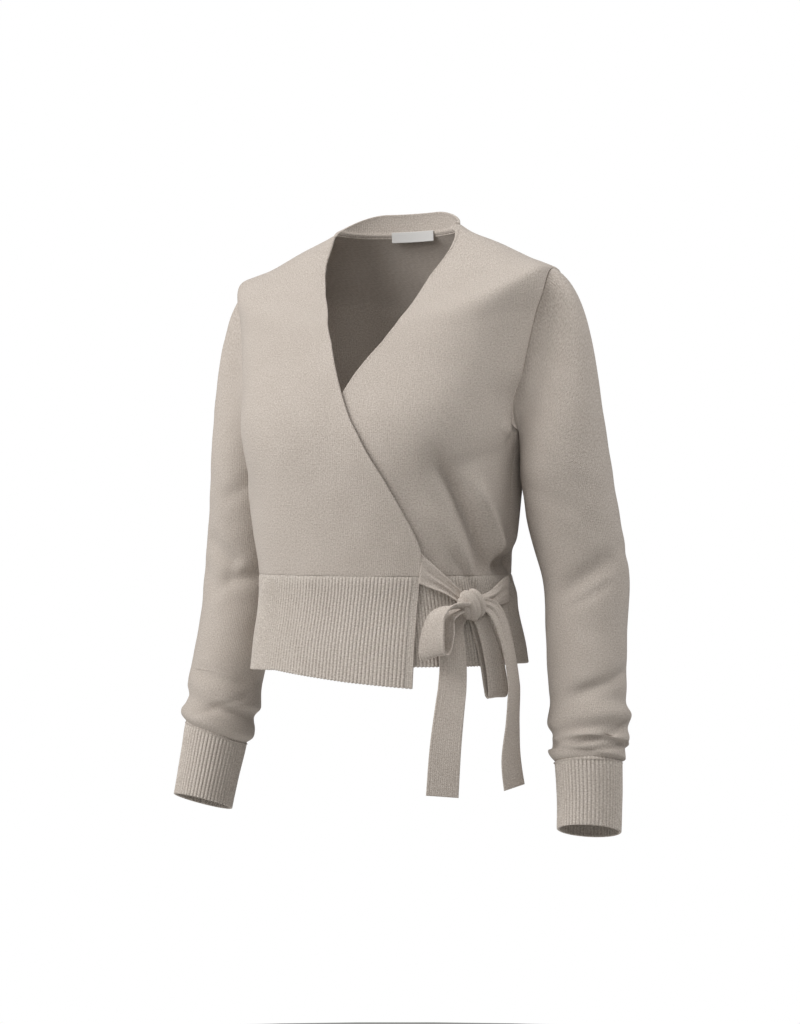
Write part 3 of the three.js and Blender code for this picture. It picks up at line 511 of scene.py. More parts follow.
def around_normals(points, side):
    """The directions straight out of a closed stack of rings."""
    along = np.roll(points, -1, axis=1) - np.roll(points, 1, axis=1)
    down = np.gradient(points, axis=0)
    return unit(np.cross(along, down)) * side


def skin(outer, inner, knit, round_it=False):
    """A closed skin over two grids that share their edges: corners, faces and places in the knit.

    Knit gives each place of the grid in millimetres along and up the cloth. A round skin closes on itself
    from side to side, and its knit has one more column than its points.
    """
    rows, count = outer.shape[:2]
    spans = count if round_it else count - 1
    front = np.arange(rows * count).reshape(rows, count)
    back = front + rows * count
    back[[0, -1]] = front[[0, -1]]
    if not round_it:
        back[:, [0, -1]] = front[:, [0, -1]]
    places = np.arange(knit.shape[0] * knit.shape[1]).reshape(knit.shape[:2])
    corner = [(0, 0), (0, 1), (1, 1), (1, 0)]

    def quads(grid, wrap):
        period = count if wrap else 10**9
        sides = [grid[r : rows - 1 + r, (np.arange(spans) + k) % period] for r, k in corner]
        return np.stack(sides, axis=-1).reshape(-1, 4)

    faces = np.concatenate([quads(front, round_it), quads(back, round_it)[:, ::-1]])
    at = quads(places, False)
    points = np.concatenate([outer.reshape(-1, 3), inner.reshape(-1, 3)])
    a, b, c = (points[faces[:, k]] for k in (0, 1, 2))
    if np.einsum("ij,ij->", a, np.cross(b, c)) < 0:
        faces, at = faces[:, ::-1], np.concatenate([at, at[:, ::-1]])[:, ::-1]
    else:
        at = np.concatenate([at, at[:, ::-1]])
    used, faces = np.unique(faces, return_inverse=True)
    return points[used], faces.reshape(-1, 4), knit.reshape(-1, 2)[at.reshape(-1)]


def add_piece(name, parts, finish, nodes):
    """Makes one object from a skin in millimetres, and lets it stand for its solids."""
    points, faces, places = parts
    mesh = bpy.data.meshes.new(name)
    mesh.vertices.add(len(points))
    mesh.vertices.foreach_set("co", (points * MM).astype(np.float32).ravel())
    mesh.loops.add(faces.size)
    mesh.loops.foreach_set("vertex_index", faces.astype(np.int32).ravel())
    mesh.polygons.add(len(faces))
    mesh.polygons.foreach_set("loop_start", np.arange(0, faces.size, 4, dtype=np.int32))
    mesh.polygons.foreach_set("use_smooth", np.ones(len(faces), dtype=bool))
    mesh.update(calc_edges=True)
    mesh.uv_layers.new(name="knit").data.foreach_set("uv", (places * MM).astype(np.float32).ravel())
    mesh.materials.append(finish)
    piece = bpy.data.objects.new(name, mesh)
    bpy.context.scene.collection.objects.link(piece)
    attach(piece, "root")
    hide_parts(*nodes)
    return piece


# The finishes


def add_node(tree, kind, settings=None, links=None):
    """Adds a node. Settings are its own or values of its inputs, and links are what feeds an input."""
    node = tree.nodes.new(kind)
    for key, value in (settings or {}).items():
        if isinstance(key, int) or key in node.inputs:
            node.inputs[key].default_value = value
        else:
            setattr(node, key, value)
    for key, socket in (links or {}).items():
        tree.links.new(socket, node.inputs[key])
    return node


def stitches(tree, place, wide, tall):
    """The face of a plain knit as a height from 0 to 1: columns of small V shapes."""
    split = add_node(tree, "ShaderNodeSeparateXYZ", links={0: place})
    across = add_node(tree, "ShaderNodeMath", {"operation": "DIVIDE", 1: wide * MM}, {0: split.outputs[0]})
    column = add_node(tree, "ShaderNodeMath", {"operation": "FRACT"}, {0: across.outputs[0]})
    middle = add_node(tree, "ShaderNodeMath", {"operation": "SUBTRACT", 1: 0.5}, {0: column.outputs[0]})
    arm = add_node(tree, "ShaderNodeMath", {"operation": "ABSOLUTE"}, {0: middle.outputs[0]})
    up = add_node(tree, "ShaderNodeMath", {"operation": "DIVIDE", 1: tall * MM}, {0: split.outputs[1]})
    slant = add_node(
        tree, "ShaderNodeMath", {"operation": "MULTIPLY_ADD", 1: -1.2}, {0: arm.outputs[0], 2: up.outputs[0]}
    )
    turn = add_node(tree, "ShaderNodeMath", {"operation": "MULTIPLY", 1: 2 * np.pi}, {0: slant.outputs[0]})
    row = add_node(tree, "ShaderNodeMath", {"operation": "COSINE"}, {0: turn.outputs[0]})
    bow = add_node(tree, "ShaderNodeMath", {"operation": "MULTIPLY", 1: np.pi}, {0: column.outputs[0]})
    leg = add_node(tree, "ShaderNodeMath", {"operation": "SINE"}, {0: bow.outputs[0]})
    return add_node(
        tree, "ShaderNodeMath", {"operation": "MULTIPLY_ADD", 1: 0.35}, {0: row.outputs[0], 2: leg.outputs[0]}
    )


def knit_finish(name, dark, light, wide, tall, relief, pitch=None):
    """Yarn knitted into cloth: a mottled colour, a soft nap and the stitches of its face.

    Pitch is the width of one rib and its groove, where the cloth is ribbed; the grooves then get painted
    shade.
    """
    material = bpy.data.materials.new(name)
    material.use_nodes = True
    tree = material.node_tree
    tree.nodes.clear()
    place = add_node(tree, "ShaderNodeUVMap", {"uv_map": "knit"})
    solid_place = add_node(tree, "ShaderNodeTexCoord")
    # Spun yarn is blended from paler and darker fibres, so the cloth is flecked at 1 to 2 mm
    fleck_run = add_node(tree, "ShaderNodeMapping", {"Scale": (0.85, 1, 1)}, {"Vector": place.outputs[0]})
    fleck = add_node(
        tree,
        "ShaderNodeTexNoise",
        {"Scale": 1 / (1.5 * MM), "Detail": 2.0, "Roughness": 0.65},
        {"Vector": fleck_run.outputs[0]},
    )
    cloud = add_node(
        tree,
        "ShaderNodeTexNoise",
        {"Scale": 1 / (26 * MM), "Detail": 2.0, "Roughness": 0.5},
        {"Vector": solid_place.outputs["Object"]},
    )
    fleck_range = add_node(
        tree,
        "ShaderNodeMapRange",
        {"From Min": 0.3, "From Max": 0.7, "To Min": 0.0, "To Max": 0.82},
        {"Value": fleck.outputs["Fac"]},
    )
    shade = add_node(
        tree,
        "ShaderNodeMath",
        {"operation": "MULTIPLY_ADD", 1: 0.18, "use_clamp": True},
        {0: cloud.outputs["Fac"], 2: fleck_range.outputs[0]},
    )
    colour = add_node(
        tree,
        "ShaderNodeMix",
        {"data_type": "RGBA", 6: (*dark, 1), 7: (*light, 1)},
        {0: shade.outputs[0]},
    )
    yarn = colour.outputs[2]
    if pitch:
        # Painted shade: the colour is darkened in the groove between two ribs, where shade falls
        run = add_node(tree, "ShaderNodeSeparateXYZ", links={0: place.outputs[0]})
        turns = add_node(
            tree,
            "ShaderNodeMath",
            {"operation": "MULTIPLY", 1: 2 * np.pi / (pitch * MM)},
            {0: run.outputs[0]},
        )
        wave = add_node(tree, "ShaderNodeMath", {"operation": "COSINE"}, {0: turns.outputs[0]})
        painted_groove_shade = add_node(
            tree,
            "ShaderNodeMapRange",
            {"From Min": 0.1, "From Max": 0.95, "To Min": 0.0, "To Max": 0.12},
            {"Value": wave.outputs[0]},
        )
        # The painted shade in a groove is a darker copy of the yarn's colour
        inside = add_node(
            tree,
            "ShaderNodeMix",
            {"data_type": "RGBA", 7: (*(0.3 * c for c in dark), 1)},
            {0: painted_groove_shade.outputs[0], 6: yarn},
        )
        yarn = inside.outputs[2]
    face = stitches(tree, place.outputs[0], wide, tall)
    fuzz = add_node(
        tree,
        "ShaderNodeTexNoise",
        {"Scale": 1 / (1.1 * MM), "Detail": 3.0, "Roughness": 0.7},
        {"Vector": solid_place.outputs["Object"]},
    )
    height = add_node(
        tree,
        "ShaderNodeMath",
        {"operation": "MULTIPLY_ADD", 1: 1.1},
        {0: fuzz.outputs["Fac"], 2: face.outputs[0]},
    )
    bump = add_node(
        tree,
        "ShaderNodeBump",
        {"Strength": 0.55, "Distance": relief * MM},
        {"Height": height.outputs[0]},
    )
    shader = add_node(
        tree,
        "ShaderNodeBsdfPrincipled",
        {
            "Roughness": 0.92,
            "Specular IOR Level": 0.18,
            "Sheen Weight": 0.16,
            "Sheen Roughness": 0.55,
            "Sheen Tint": (0.95, 0.93, 0.9, 1),
        },
        {"Base Color": yarn, "Normal": bump.outputs[0]},
    )
    add_node(tree, "ShaderNodeOutputMaterial", links={"Surface": shader.outputs[0]})
    return material


def woven_label_finish(name, colour):
    """Polyester satin ribbon: fine slanting threads with a low shine."""
    material = bpy.data.materials.new(name)
    material.use_nodes = True
    tree = material.node_tree
    tree.nodes.clear()
    place = add_node(tree, "ShaderNodeUVMap", {"uv_map": "knit"})
    # The threads are 0.2 mm apart, too fine to show, so they are drawn 0.9 mm apart
    threads = add_node(
        tree,
        "ShaderNodeTexWave",
        {"bands_direction": "DIAGONAL", "Scale": 1 / (20 * 0.9 * MM) * 2 * np.pi, "Distortion": 0.3},
        {"Vector": place.outputs[0]},
    )
    tint = add_node(
        tree,
        "ShaderNodeMix",
        {"data_type": "RGBA", 6: (*(0.93 * c for c in colour), 1), 7: (*colour, 1)},
        {0: threads.outputs["Fac"]},
    )
    bump = add_node(
        tree, "ShaderNodeBump", {"Strength": 0.2, "Distance": 0.1 * MM}, {"Height": threads.outputs["Fac"]}
    )
    shader = add_node(
        tree,
        "ShaderNodeBsdfPrincipled",
        {"Roughness": 0.48, "Specular IOR Level": 0.4, "Sheen Weight": 0.1},
        {"Base Color": tint.outputs[2], "Normal": bump.outputs[0]},
    )
    add_node(tree, "ShaderNodeOutputMaterial", links={"Surface": shader.outputs[0]})
    return material


def finish_of(kind):
    """The garment's four finishes, each made once."""
    colours = bpy.context.scene.cardigan_colours
    sizes = bpy.context.scene.cardigan_sizes
    found = bpy.data.materials.get(kind)
    if found:
        return found
    wide, tall = sizes.stitch_wide / MM, sizes.stitch_tall / MM
    if kind == "heathered wool jersey":
        # Fine plain knit: matt, slightly hairy, with faint columns of stitches
        return knit_finish(kind, colours.yarn_dark, colours.yarn_light, wide, tall, 0.5)
    if kind == "heathered wool rib":
        # The same yarn knitted tighter: matt, with painted shade in its grooves that makes its ridges look
        # paler
        pitch = sizes.rib_pitch / MM
        return knit_finish(kind, colours.yarn_dark, colours.rib_light, pitch / 2, tall, 0.4, pitch)
    if kind == "doubled wool jersey":
        # The ties are a flat tube of the same knit, so they look plumper and smoother
        return knit_finish(kind, colours.yarn_dark, colours.yarn_light, wide, tall, 0.4)
    return woven_label_finish(kind, tuple(colours.label))


# The pieces


def turned_edge(distance, wide):
    """A free edge is turned in and stitched: a low band that ends in a shallow line of stitches."""
    return 0.5 * (1 - ease((distance - wide) / 1.2)) - 0.3 * np.exp(-(((distance - wide - 1.2) / 0.8) ** 2))


def sewn(distance):
    """The cloth dips beside a seam."""
    return -0.3 * np.exp(-((distance / 1.8) ** 2))


def panel_rows(sizes):
    """Levels of a panel's rows: from the waist to the armpit, up the armhole and over the shoulder."""
    plain = WAIST + (ARMPIT - WAIST) * spaced(147, sizes.grid / MM, end=False)
    hole = armhole_levels(spaced(178, sizes.grid / MM, start=False, end=False))
    shoulder = SHOULDER_TIP + (NECK - SHOULDER_TIP) * spaced(110, sizes.grid / MM, start=False)
    return np.concatenate([plain, hole[1:], shoulder[1:]])


def meridian(levels):
    """Millimetres up the cloth to each level."""
    p = bare_body(45, ALL_LEVELS)
    run = np.concatenate([[0], np.cumsum(np.linalg.norm(np.diff(p, axis=0), axis=-1))])
    return np.interp(levels, ALL_LEVELS, run)


def from_centre(around, levels):
    """Millimetres round the body from centre front, at each level."""
    turns = np.arange(-96.0, 276.0, 3.0)
    p = bare_body(turns[None, :], levels[:, None])
    step = np.linalg.norm(np.diff(p, axis=1), axis=-1)
    run = np.concatenate([np.zeros((len(levels), 1)), np.cumsum(step, axis=1)], axis=1)
    middle = np.argmin(np.abs(turns))
    return np.stack([np.interp(row, turns, each - each[middle]) for row, each in zip(around, run)])


def panel(levels, around, lift, edge_wide=None):
    """One panel of plain knit on the body's form. Its first column is its free edge, if it has one."""
    level = levels[:, None] + 0 * around
    points, out = body(around, level, FRONT_CREASES)
    first, last = runs(points, 1)
    low, high = runs(points, 0)
    relief = 0.55 * slack(around * 2.5, points[..., 2], 2) * ease(np.minimum(first, last) / 20)
    relief = relief + sewn(last) + sewn(low) + sewn(high)
    relief = relief + (sewn(first) if edge_wide is None else turned_edge(first, edge_wide))
    free = SEAM_ROUND if edge_wide is None else 1.0
    edge = np.minimum.reduce([first / free, last / SEAM_ROUND, low / SEAM_ROUND, high / SEAM_ROUND])
    outer, inner = two_faces(points, out, lift + relief, lift + 0.6 * relief - CLOTH, edge_round(edge, 1.1))
    knit = np.stack([from_centre(around, levels), meridian(level)], axis=-1)
    return skin(outer, inner, knit)


def front_panel(side, table, sizes):
    levels = panel_rows(sizes)
    free = edge_of(table, levels, side)[:, None]
    end = side_of(levels, ARMHOLE_FRONT)[:, None]
    around = (free + (end - free) * spaced(230, sizes.grid / MM)) * side
    lift = wrap_lift(around, levels[:, None]) if side < 0 else np.zeros_like(around)
    near_neck = ease((levels[:, None] - 9) / 4)
    return panel(levels, around, lift, sizes.edge_band / MM * (0.8 + 0.7 * near_neck))


def back_panel(sizes):
    levels = panel_rows(sizes)
    end = side_of(levels, ARMHOLE_BACK)[:, None]
    around = 180 + end * (2 * spaced(420, sizes.grid / MM) - 1)
    return panel(levels, around, np.zeros_like(around))


def rib_height(phase):
    """A rib is broad and the groove beside it is narrow."""
    return 1 - (0.5 + 0.5 * np.cos(2 * np.pi * phase)) ** 1.7


def hem_edge(table, side):
    """The angle of a front's free edge at heights of the hem."""
    z = np.linspace(HEM_Z, WAIST_Z, 60)
    edge = side * edge_of(table, level_at(z), side)
    return lambda height: np.interp(height, z, edge)


def hem_rib(start, end_at, hem_at, sizes, lift_of=None, free_edge=False):
    """A band of rib from one angle to another, which may lean, from the waist down to the hem."""
    share = np.linspace(0, 1, 200)
    mid, _ = body(start + (end_at(-410) - start) * share, level_at(-410) + 0 * share)
    length = np.linalg.norm(np.diff(mid, axis=0), axis=-1).sum()
    ribs = round(length / (sizes.rib_pitch / MM))
    share = np.concatenate([spaced(length, length / ribs / 6)])[None, :]
    down = spaced(98, 6)[:, None]
    around = start + (end_at(WAIST_Z + (hem_at(1) - WAIST_Z) * down) - start) * share
    # Each rib ends a little lower than the groove beside it
    z = WAIST_Z + (hem_at(share) - WAIST_Z - 0.7 * rib_height(share * ribs) * ease(down * 15 - 14)) * down
    level = level_at(z)
    points, out = body(around, level, FRONT_CREASES)
    first, last = runs(points, 1)
    top, bottom = runs(points, 0)
    lift = lift_of(around, level) if lift_of else 0
    plain = ease((last - 6.5) / 2) if free_edge else 1
    # The rib is stretched flatter beside a side seam
    stretched = 0.45 + 0.55 * ease(np.minimum(first, length if free_edge else last) / 45)
    ribbed = rib_height(share * ribs) * ease((top - 0.6) / 3) * plain * stretched
    rise = sizes.rib_rise / MM * (ribbed - 0.3) + 0.4 * slack(around * 2.5, z, 6)
    last_edge = last / (1 if free_edge else SEAM_ROUND)
    edge = np.minimum.reduce([first / SEAM_ROUND, last_edge, top / SEAM_ROUND, bottom])
    low = lift - RIB_WALL + 0 * rise
    outer, inner = two_faces(points, out, lift + rise, low, edge_round(edge, 1.0))
    return skin(outer, inner, np.stack([share * ribs * sizes.rib_pitch / MM + 0 * down, -top], axis=-1))


def sleeve_point(hand, turn, at, tables=SLEEVE):
    """A place on a sleeve below its cap. Turn is 0 on the outer side, 90 in front and 180 at the body."""
    side = 1 if hand == "left" else -1
    table = tables[hand]
    turn, at = np.broadcast_arrays(np.asarray(turn, float), np.asarray(at, float))
    c, s = np.cos(np.radians(turn)), np.sin(np.radians(turn))
    last = len(table["x"]) - 1
    low, high = np.clip(at - 2, 0, last), np.clip(at + 2, 0, last)
    ahead = unit(np.stack([read(table, k, high) - read(table, k, low) for k in "xyz"], axis=-1))
    out_side = unit(np.array([1.0, 0, 0]) - ahead * ahead[..., :1])
    to_front = np.cross(out_side, ahead)
    to_front = to_front * np.where(to_front[..., 1:2] > 0, -1, 1)
    shifted = read(table, "y", at) + ARM_SHIFT[hand]
    p = np.stack([read(table, "x", at), shifted, read(table, "z", at)], axis=-1)
    p = p + out_side * (read(table, "across", at) * c)[..., None]
    p = p + to_front * (read(table, "deep", at) * s)[..., None]
    p[..., 2] += read(table, "lean", at) * c + read(table, "tip", at) * s
    p[..., 0] *= side
    return p


def armhole_loop(side, turn):
    """The armhole's edge at each turn, and the way the sleeve leaves it."""
    in_front = turn <= 180
    level = armhole_levels(np.where(in_front, 1 - turn / 180, turn / 180 - 1))
    around = np.where(in_front, side_of(level, ARMHOLE_FRONT), 180 - side_of(level, ARMHOLE_BACK))
    c, s = np.cos(np.radians(turn)), np.sin(np.radians(turn))
    # In front it leaves straight on from the chest above, and turns down beside the armpit
    back = s * (0.15 + 0.35 * ease(c + 0.6) * in_front)
    leave = unit(np.stack([side * (0.68 + 0.17 * c), back, -0.63 + 0.08 * c], axis=-1))
    start, out = body(around * side, level)
    return start + out * 0.15, leave


def sleeve(hand, sizes):
    side = 1 if hand == "left" else -1
    turn = np.linspace(0, 360, 145)[:-1]
    start, leave = armhole_loop(side, turn)
    end = sleeve_point(hand, turn, 0.0 * turn)
    reach = np.linalg.norm(end - start, axis=-1, keepdims=True)
    arrive = unit(sleeve_point(hand, turn, 0.2 + 0 * turn) - end) * reach * CAP_HANG
    t = spaced(95, sizes.grid / MM, end=False)[:, None, None]
    cap = (
        start * (2 * t**3 - 3 * t**2 + 1)
        + leave * reach * CAP_FULLNESS * (t**3 - 2 * t**2 + t)
        + end * (3 * t**2 - 2 * t**3)
        + arrive * (t**3 - t**2)
    )
    low = SLEEVE_END - 0.2
    at = np.concatenate(
        [np.linspace(0, 4.5, 90)[1:], np.linspace(4.5, low, 78)[1:], low + 0.2 * spaced(2, 0.5)[1:]]
    )
    arm = sleeve_point(hand, turn[None, :], at[:, None])
    points = np.concatenate([cap, arm])
    out = around_normals(points, side)
    near = np.where(turn > 250, turn - 360, turn)[None, :] + 0 * points[..., 0]
    top, bottom = runs(points, 0)
    folds = fold_depth(SLEEVE_FOLDS[hand], near, points[..., 2], 0.8) * ease((top - 40) / 30)
    relief = (-folds + 0.7 * slack(near * 0.8, points[..., 2], 4 + side)) * ease(bottom / 7) + sewn(top)
    outer, inner = two_faces(
        points, out, relief, relief - CLOTH, edge_round(np.minimum(top / SEAM_ROUND, bottom / 0.6), 1.1)
    )
    knit = np.stack(
        [
            np.linspace(0, 288, 145)[None, :] + 0 * top[:, :1],
            -top.mean(axis=1, keepdims=True) + np.zeros((1, 145)),
        ],
        axis=-1,
    )
    return skin(outer, inner, knit, round_it=True)


def cuff(hand, sizes):
    side = 1 if hand == "left" else -1
    ribs = sizes.cuff_ribs
    turn = np.linspace(0, 360, ribs * 7 + 1)[:-1]
    at = 3 * spaced(76, 3)
    points = sleeve_point(hand, turn[None, :], at[:, None], CUFFS)
    out = around_normals(points, side)
    top, bottom = runs(points, 0)
    ribbed = rib_height(turn[None, :] / 360 * ribs) * ease((top - 4) / 4)
    rise = sizes.rib_rise / MM * (ribbed - 0.3) + 0.3 * slack(turn[None, :] * 0.6, points[..., 2], 9 + side)
    edge = edge_round(np.minimum(top / 0.6, bottom), 1.0)
    inside = rise - RIB_WALL - sizes.rib_rise / MM * (2 * ribbed - 1)
    outer, inner = two_faces(points, out, rise, inside, edge)
    across = np.linspace(0, ribs * sizes.rib_pitch / MM, ribs * 7 + 1)[None, :] + 0 * top[:, :1]
    return skin(outer, inner, np.stack([across, -top[:, :1] + 0 * across], axis=-1), round_it=True)


def neckband(sizes):
    """The band round the back of the neck, low at its ends and full height behind."""
    share = spaced(200, 1.6)[None, :]
    up = spaced(24, 1.1)[:, None]
    around = NECKBAND["from"] + (NECKBAND["to"] - NECKBAND["from"]) * share
    from_end = 90 - np.abs(180 - around)
    grown = ease((from_end + NECKBAND["past"]) / NECKBAND["taper"])
    tall = NECKBAND["end_height"] + (NECKBAND["height"] - NECKBAND["end_height"]) * grown
    tall = np.maximum(tall - neck_climb(around), 1.2)
    seam = bare_body(around + 0 * up, NECK + 0 * up)
    inward = -unit(seam * np.array([1, 1, 0]))
    points = seam + inward * (NECKBAND["lean"] * tall * up * up)[..., None]
    # It starts a little below the seam, between the two layers that are sewn to it
    points[..., 2] = seam[..., 2] - 1 + (tall + 1.3) * up
    along = np.gradient(points, axis=1)
    out = unit(np.stack([along[..., 1], -along[..., 0], 0 * along[..., 0]], axis=-1))
    out = out * np.where((out * points * np.array([1, 1, 0])).sum(-1, keepdims=True) > 0, 1, -1)
    first, last = runs(points, 1)
    low, high = runs(points, 0)
    edge = edge_round(np.minimum.reduce([first / 0.6, last / 0.6, low / 0.6, high]), 1.1)
    ridge = 0.9 * np.exp(-(((low - 3) / 1.5) ** 2)) - 0.5 * np.exp(-((low / 1.2) ** 2))
    roll = 0.4 * np.exp(-((high / 3) ** 2))
    outer, inner = two_faces(points, out, sewn(low) + roll, -CLOTH - ridge - roll, edge)
    return skin(outer, inner, np.stack([first, low], axis=-1))


def neck_label(sizes):
    """The label hangs over the neck seam inside the back. It is left bare."""
    x = NECK_LABEL["half"] * (1 - 2 * spaced(51, 1.2))[None, :]
    z = NECK_LABEL["low"] + (NECK_LABEL["high"] - NECK_LABEL["low"]) * spaced(11.5, 0.8)[:, None]
    around = 180 - np.degrees(np.arcsin(x / BODY["half"][NECK]))
    points = bare_body(around + 0 * z, NECK + 0 * z)
    lean = NECKBAND["lean"] * np.maximum(z, 0)
    points[..., 1] -= CLOTH + NECK_LABEL["clear"] + 0.25 + lean + 0.35 * np.exp(-((z / 3) ** 2))
    points[..., 2] += z
    first, last = runs(points, 1)
    low, high = runs(points, 0)
    edge = edge_round(np.minimum.reduce([first, last, low, high]), 0.5)
    out = np.zeros_like(points)
    out[..., 1] = 1
    outer, inner = two_faces(points, out, 0 * edge, -NECK_LABEL["thick"] + 0 * edge, edge)
    return skin(outer, inner, np.stack([first, low], axis=-1))


def over_body(around, z, out):
    """A place out from the body, over the hem or below it."""
    p, normal = body(around, level_at(np.maximum(z, HEM_Z)))
    p = p + normal * out[..., None]
    p[..., 2] = np.where(z < HEM_Z, z, p[..., 2])
    return p


def tie(rows, creases=(), thick=TIE_THICK):
    """One stretch of a tie along the rows of its table: a flat tube, gathered where it nears the knot.

    A crease is (share along, share across, share along, share across, depth, reach).
    """
    last = len(rows["z"]) - 1

    def middle(at):
        return over_body(read(rows, "around", at), read(rows, "z", at), read(rows, "out", at))

    fine = np.linspace(0, last, 400)
    run = np.concatenate([[0], np.cumsum(np.linalg.norm(np.diff(middle(fine), axis=0), axis=-1))])
    share = spaced(run[-1], 1.3)
    at = np.interp(share * run[-1], run, fine)
    here = middle(at)
    along = unit(middle(np.minimum(at + 0.05, last)) - middle(np.maximum(at - 0.05, 0)))
    around, z = read(rows, "around", at), read(rows, "z", at)
    level = over_body(around + 1, z, 0 * at) - over_body(around - 1, z, 0 * at)
    level[:, 2] = 0
    level = unit(level)
    swing, rise = np.radians(read(rows, "swing", at)), np.radians(read(rows, "rise", at))
    c, s = np.cos(swing), np.sin(swing)
    level = np.stack([level[:, 0] * c - level[:, 1] * s, level[:, 0] * s + level[:, 1] * c, 0 * c], axis=-1)
    across = level * np.cos(rise)[:, None] + np.array([0, 0, 1.0]) * np.sin(rise)[:, None]
    across = unit(across - along * ((across * along).sum(-1) * np.cos(rise) ** 2)[:, None])
    out = np.cross(along, across)
    width = read(rows, "width", at)[:, None]
    wide = spaced(30, 0.8)[None, :]
    gather = read(rows, "gather", at)[:, None] * np.cos(2 * np.pi * TIE_GATHERS * wide)
    place = (wide - 0.5) * width
    length = share[:, None] * run[-1]
    for a, wa, b, wb, depth, reach in creases:
        run_u, run_v = (wb - wa) * 30, (b - a) * run[-1]
        long = np.hypot(run_u, run_v)
        u, v = (wide - wa) * 30, length - a * run[-1]
        on = (u * run_u + v * run_v) / long
        off = (u * run_v - v * run_u) / long
        ends = ease(on / (0.3 * long) + 0.3) * ease((long - on) / (0.3 * long) + 0.3)
        gather = gather - depth * ends * np.exp(-((off / reach) ** 2))
    points = here[:, None, :] + across[:, None, :] * place[..., None]
    out = out[:, None, :] + 0 * points
    from_side = np.minimum(wide, 1 - wide) * width
    from_end = np.minimum(length, run[-1] - length)
    half = thick / 2
    full = edge_round(np.minimum(from_side, from_end), half)
    stitched = -0.2 * np.exp(-(((from_side - 3.4) / 0.8) ** 2))
    front = gather + 0.25 * slack(place, length, 3) + half + stitched
    outer, inner = two_faces(points, out, front, front - 2 * half - 2 * stitched, full)
    knit = np.stack([place + 0 * length, length + 0 * place], axis=-1)
    return skin(outer, inner, knit)


def knot(sizes):
    """The knot: a fat barrel of cloth wound about a slanting axis."""
    a = np.linspace(-1, 1, 65)[None, :]
    b = np.linspace(-1, 1, 65)[:, None]
    along = a * np.sqrt(1 - b * b / 2)
    over = b * np.sqrt(1 - a * a / 2)
    depth = np.sqrt(np.maximum(0, 1 - along**2 - over**2))
    centre = over_body(*(np.array(float(KNOT[name])) for name in ("around", "z", "out")))
    _, out = body(KNOT["around"], level_at(KNOT["z"]))
    out = unit(out * np.array([1, 1, 0]))
    level = unit(np.cross([0, 0, 1], out))
    tilt = np.radians(KNOT["tilt"])
    axis = level * np.cos(tilt) - np.array([0, 0, 1]) * np.sin(tilt)
    side = np.cross(out, axis)

    def face(sign):
        height = np.hypot(over, depth)
        fat = np.minimum(np.maximum(height, 1e-3) ** -0.3, 1.6)
        # The folds of the band that is wound round it run across its axis, and bend as they go
        bent = along + 0.22 * over * over - 0.1 * over
        folds = sum(-d * np.exp(-(((bent - at) / KNOT_FOLD_REACH) ** 2)) for at, d in KNOT_FOLDS)
        swell = 0.8 * np.cos(7 * bent + 0.6) + folds
        return (
            centre
            + axis * (along * KNOT["long"])[..., None]
            + side * (over * (KNOT["tall"] * fat + swell))[..., None]
            + out * (sign * depth * (KNOT["thick"] * fat + swell))[..., None]
        )

    knit = np.stack([along * 22, over * 25], axis=-1)
    return skin(face(1), face(-1), knit)


# What a user can change, and the steps that build the garment


class CardiganSizes(bpy.types.PropertyGroup):
    """Sizes of the knit and its edges."""

    grid: bpy.props.FloatProperty(
        name="Fineness", description="Distance between the points of a skin", default=0.0029, unit="LENGTH"
    )
    stitch_wide: bpy.props.FloatProperty(
        name="Stitch width", description="Width of a column of stitches", default=0.0021, unit="LENGTH"
    )
    stitch_tall: bpy.props.FloatProperty(
        name="Stitch height", description="Height of a row of stitches", default=0.0017, unit="LENGTH"
    )
    rib_pitch: bpy.props.FloatProperty(
        name="Rib pitch", description="One rib of the hem and its groove", default=0.0036, unit="LENGTH"
    )
    rib_rise: bpy.props.FloatProperty(
        name="Rib rise", description="Height of a rib over its groove", default=0.0011, unit="LENGTH"
    )
    cuff_ribs: bpy.props.IntProperty(name="Cuff ribs", description="Ribs round a cuff", default=52, min=20)
    edge_band: bpy.props.FloatProperty(
        name="Edge band", description="Width of the turned free edges", default=0.0036, unit="LENGTH"
    )


class CardiganColours(bpy.types.PropertyGroup):
    """Colours of the yarn, the label and the studio."""

    yarn_dark: bpy.props.FloatVectorProperty(
        name="Yarn, dark fibres",
        description="The darker fibres of the yarn",
        subtype="COLOR",
        default=linear(0xA1958A),
    )
    yarn_light: bpy.props.FloatVectorProperty(
        name="Yarn, pale fibres",
        description="The paler fibres of the yarn",
        subtype="COLOR",
        default=linear(0xCEC5BC),
    )
    rib_light: bpy.props.FloatVectorProperty(
        name="Rib, pale fibres",
        description="The paler fibres of the rib",
        subtype="COLOR",
        default=linear(0xDCD4CB),
    )
    label: bpy.props.FloatVectorProperty(
        name="Label", description="The woven label", subtype="COLOR", default=linear(0xC8C6C3)
    )
    floor: bpy.props.FloatVectorProperty(
        name="Floor", description="The studio floor", subtype="COLOR", default=linear(0xF2F1EF)
    )


def softbox(name, place, target, size, power, colour=0xFFFFFF):
    """A square soft light at a place, turned to a target."""
    light = bpy.data.lights.new(name, "AREA")
    light.shape = "SQUARE"
    light.size = size
    light.energy = power
    light.color = linear(colour)
    lamp = bpy.data.objects.new(name, light)
    bpy.context.scene.collection.objects.link(lamp)
    lamp.location = place
    way = np.array(target) - np.array(place)
    lamp.rotation_euler = Vector(way).to_track_quat("-Z", "Y").to_euler()
    lamp.visible_camera = False
    return lamp


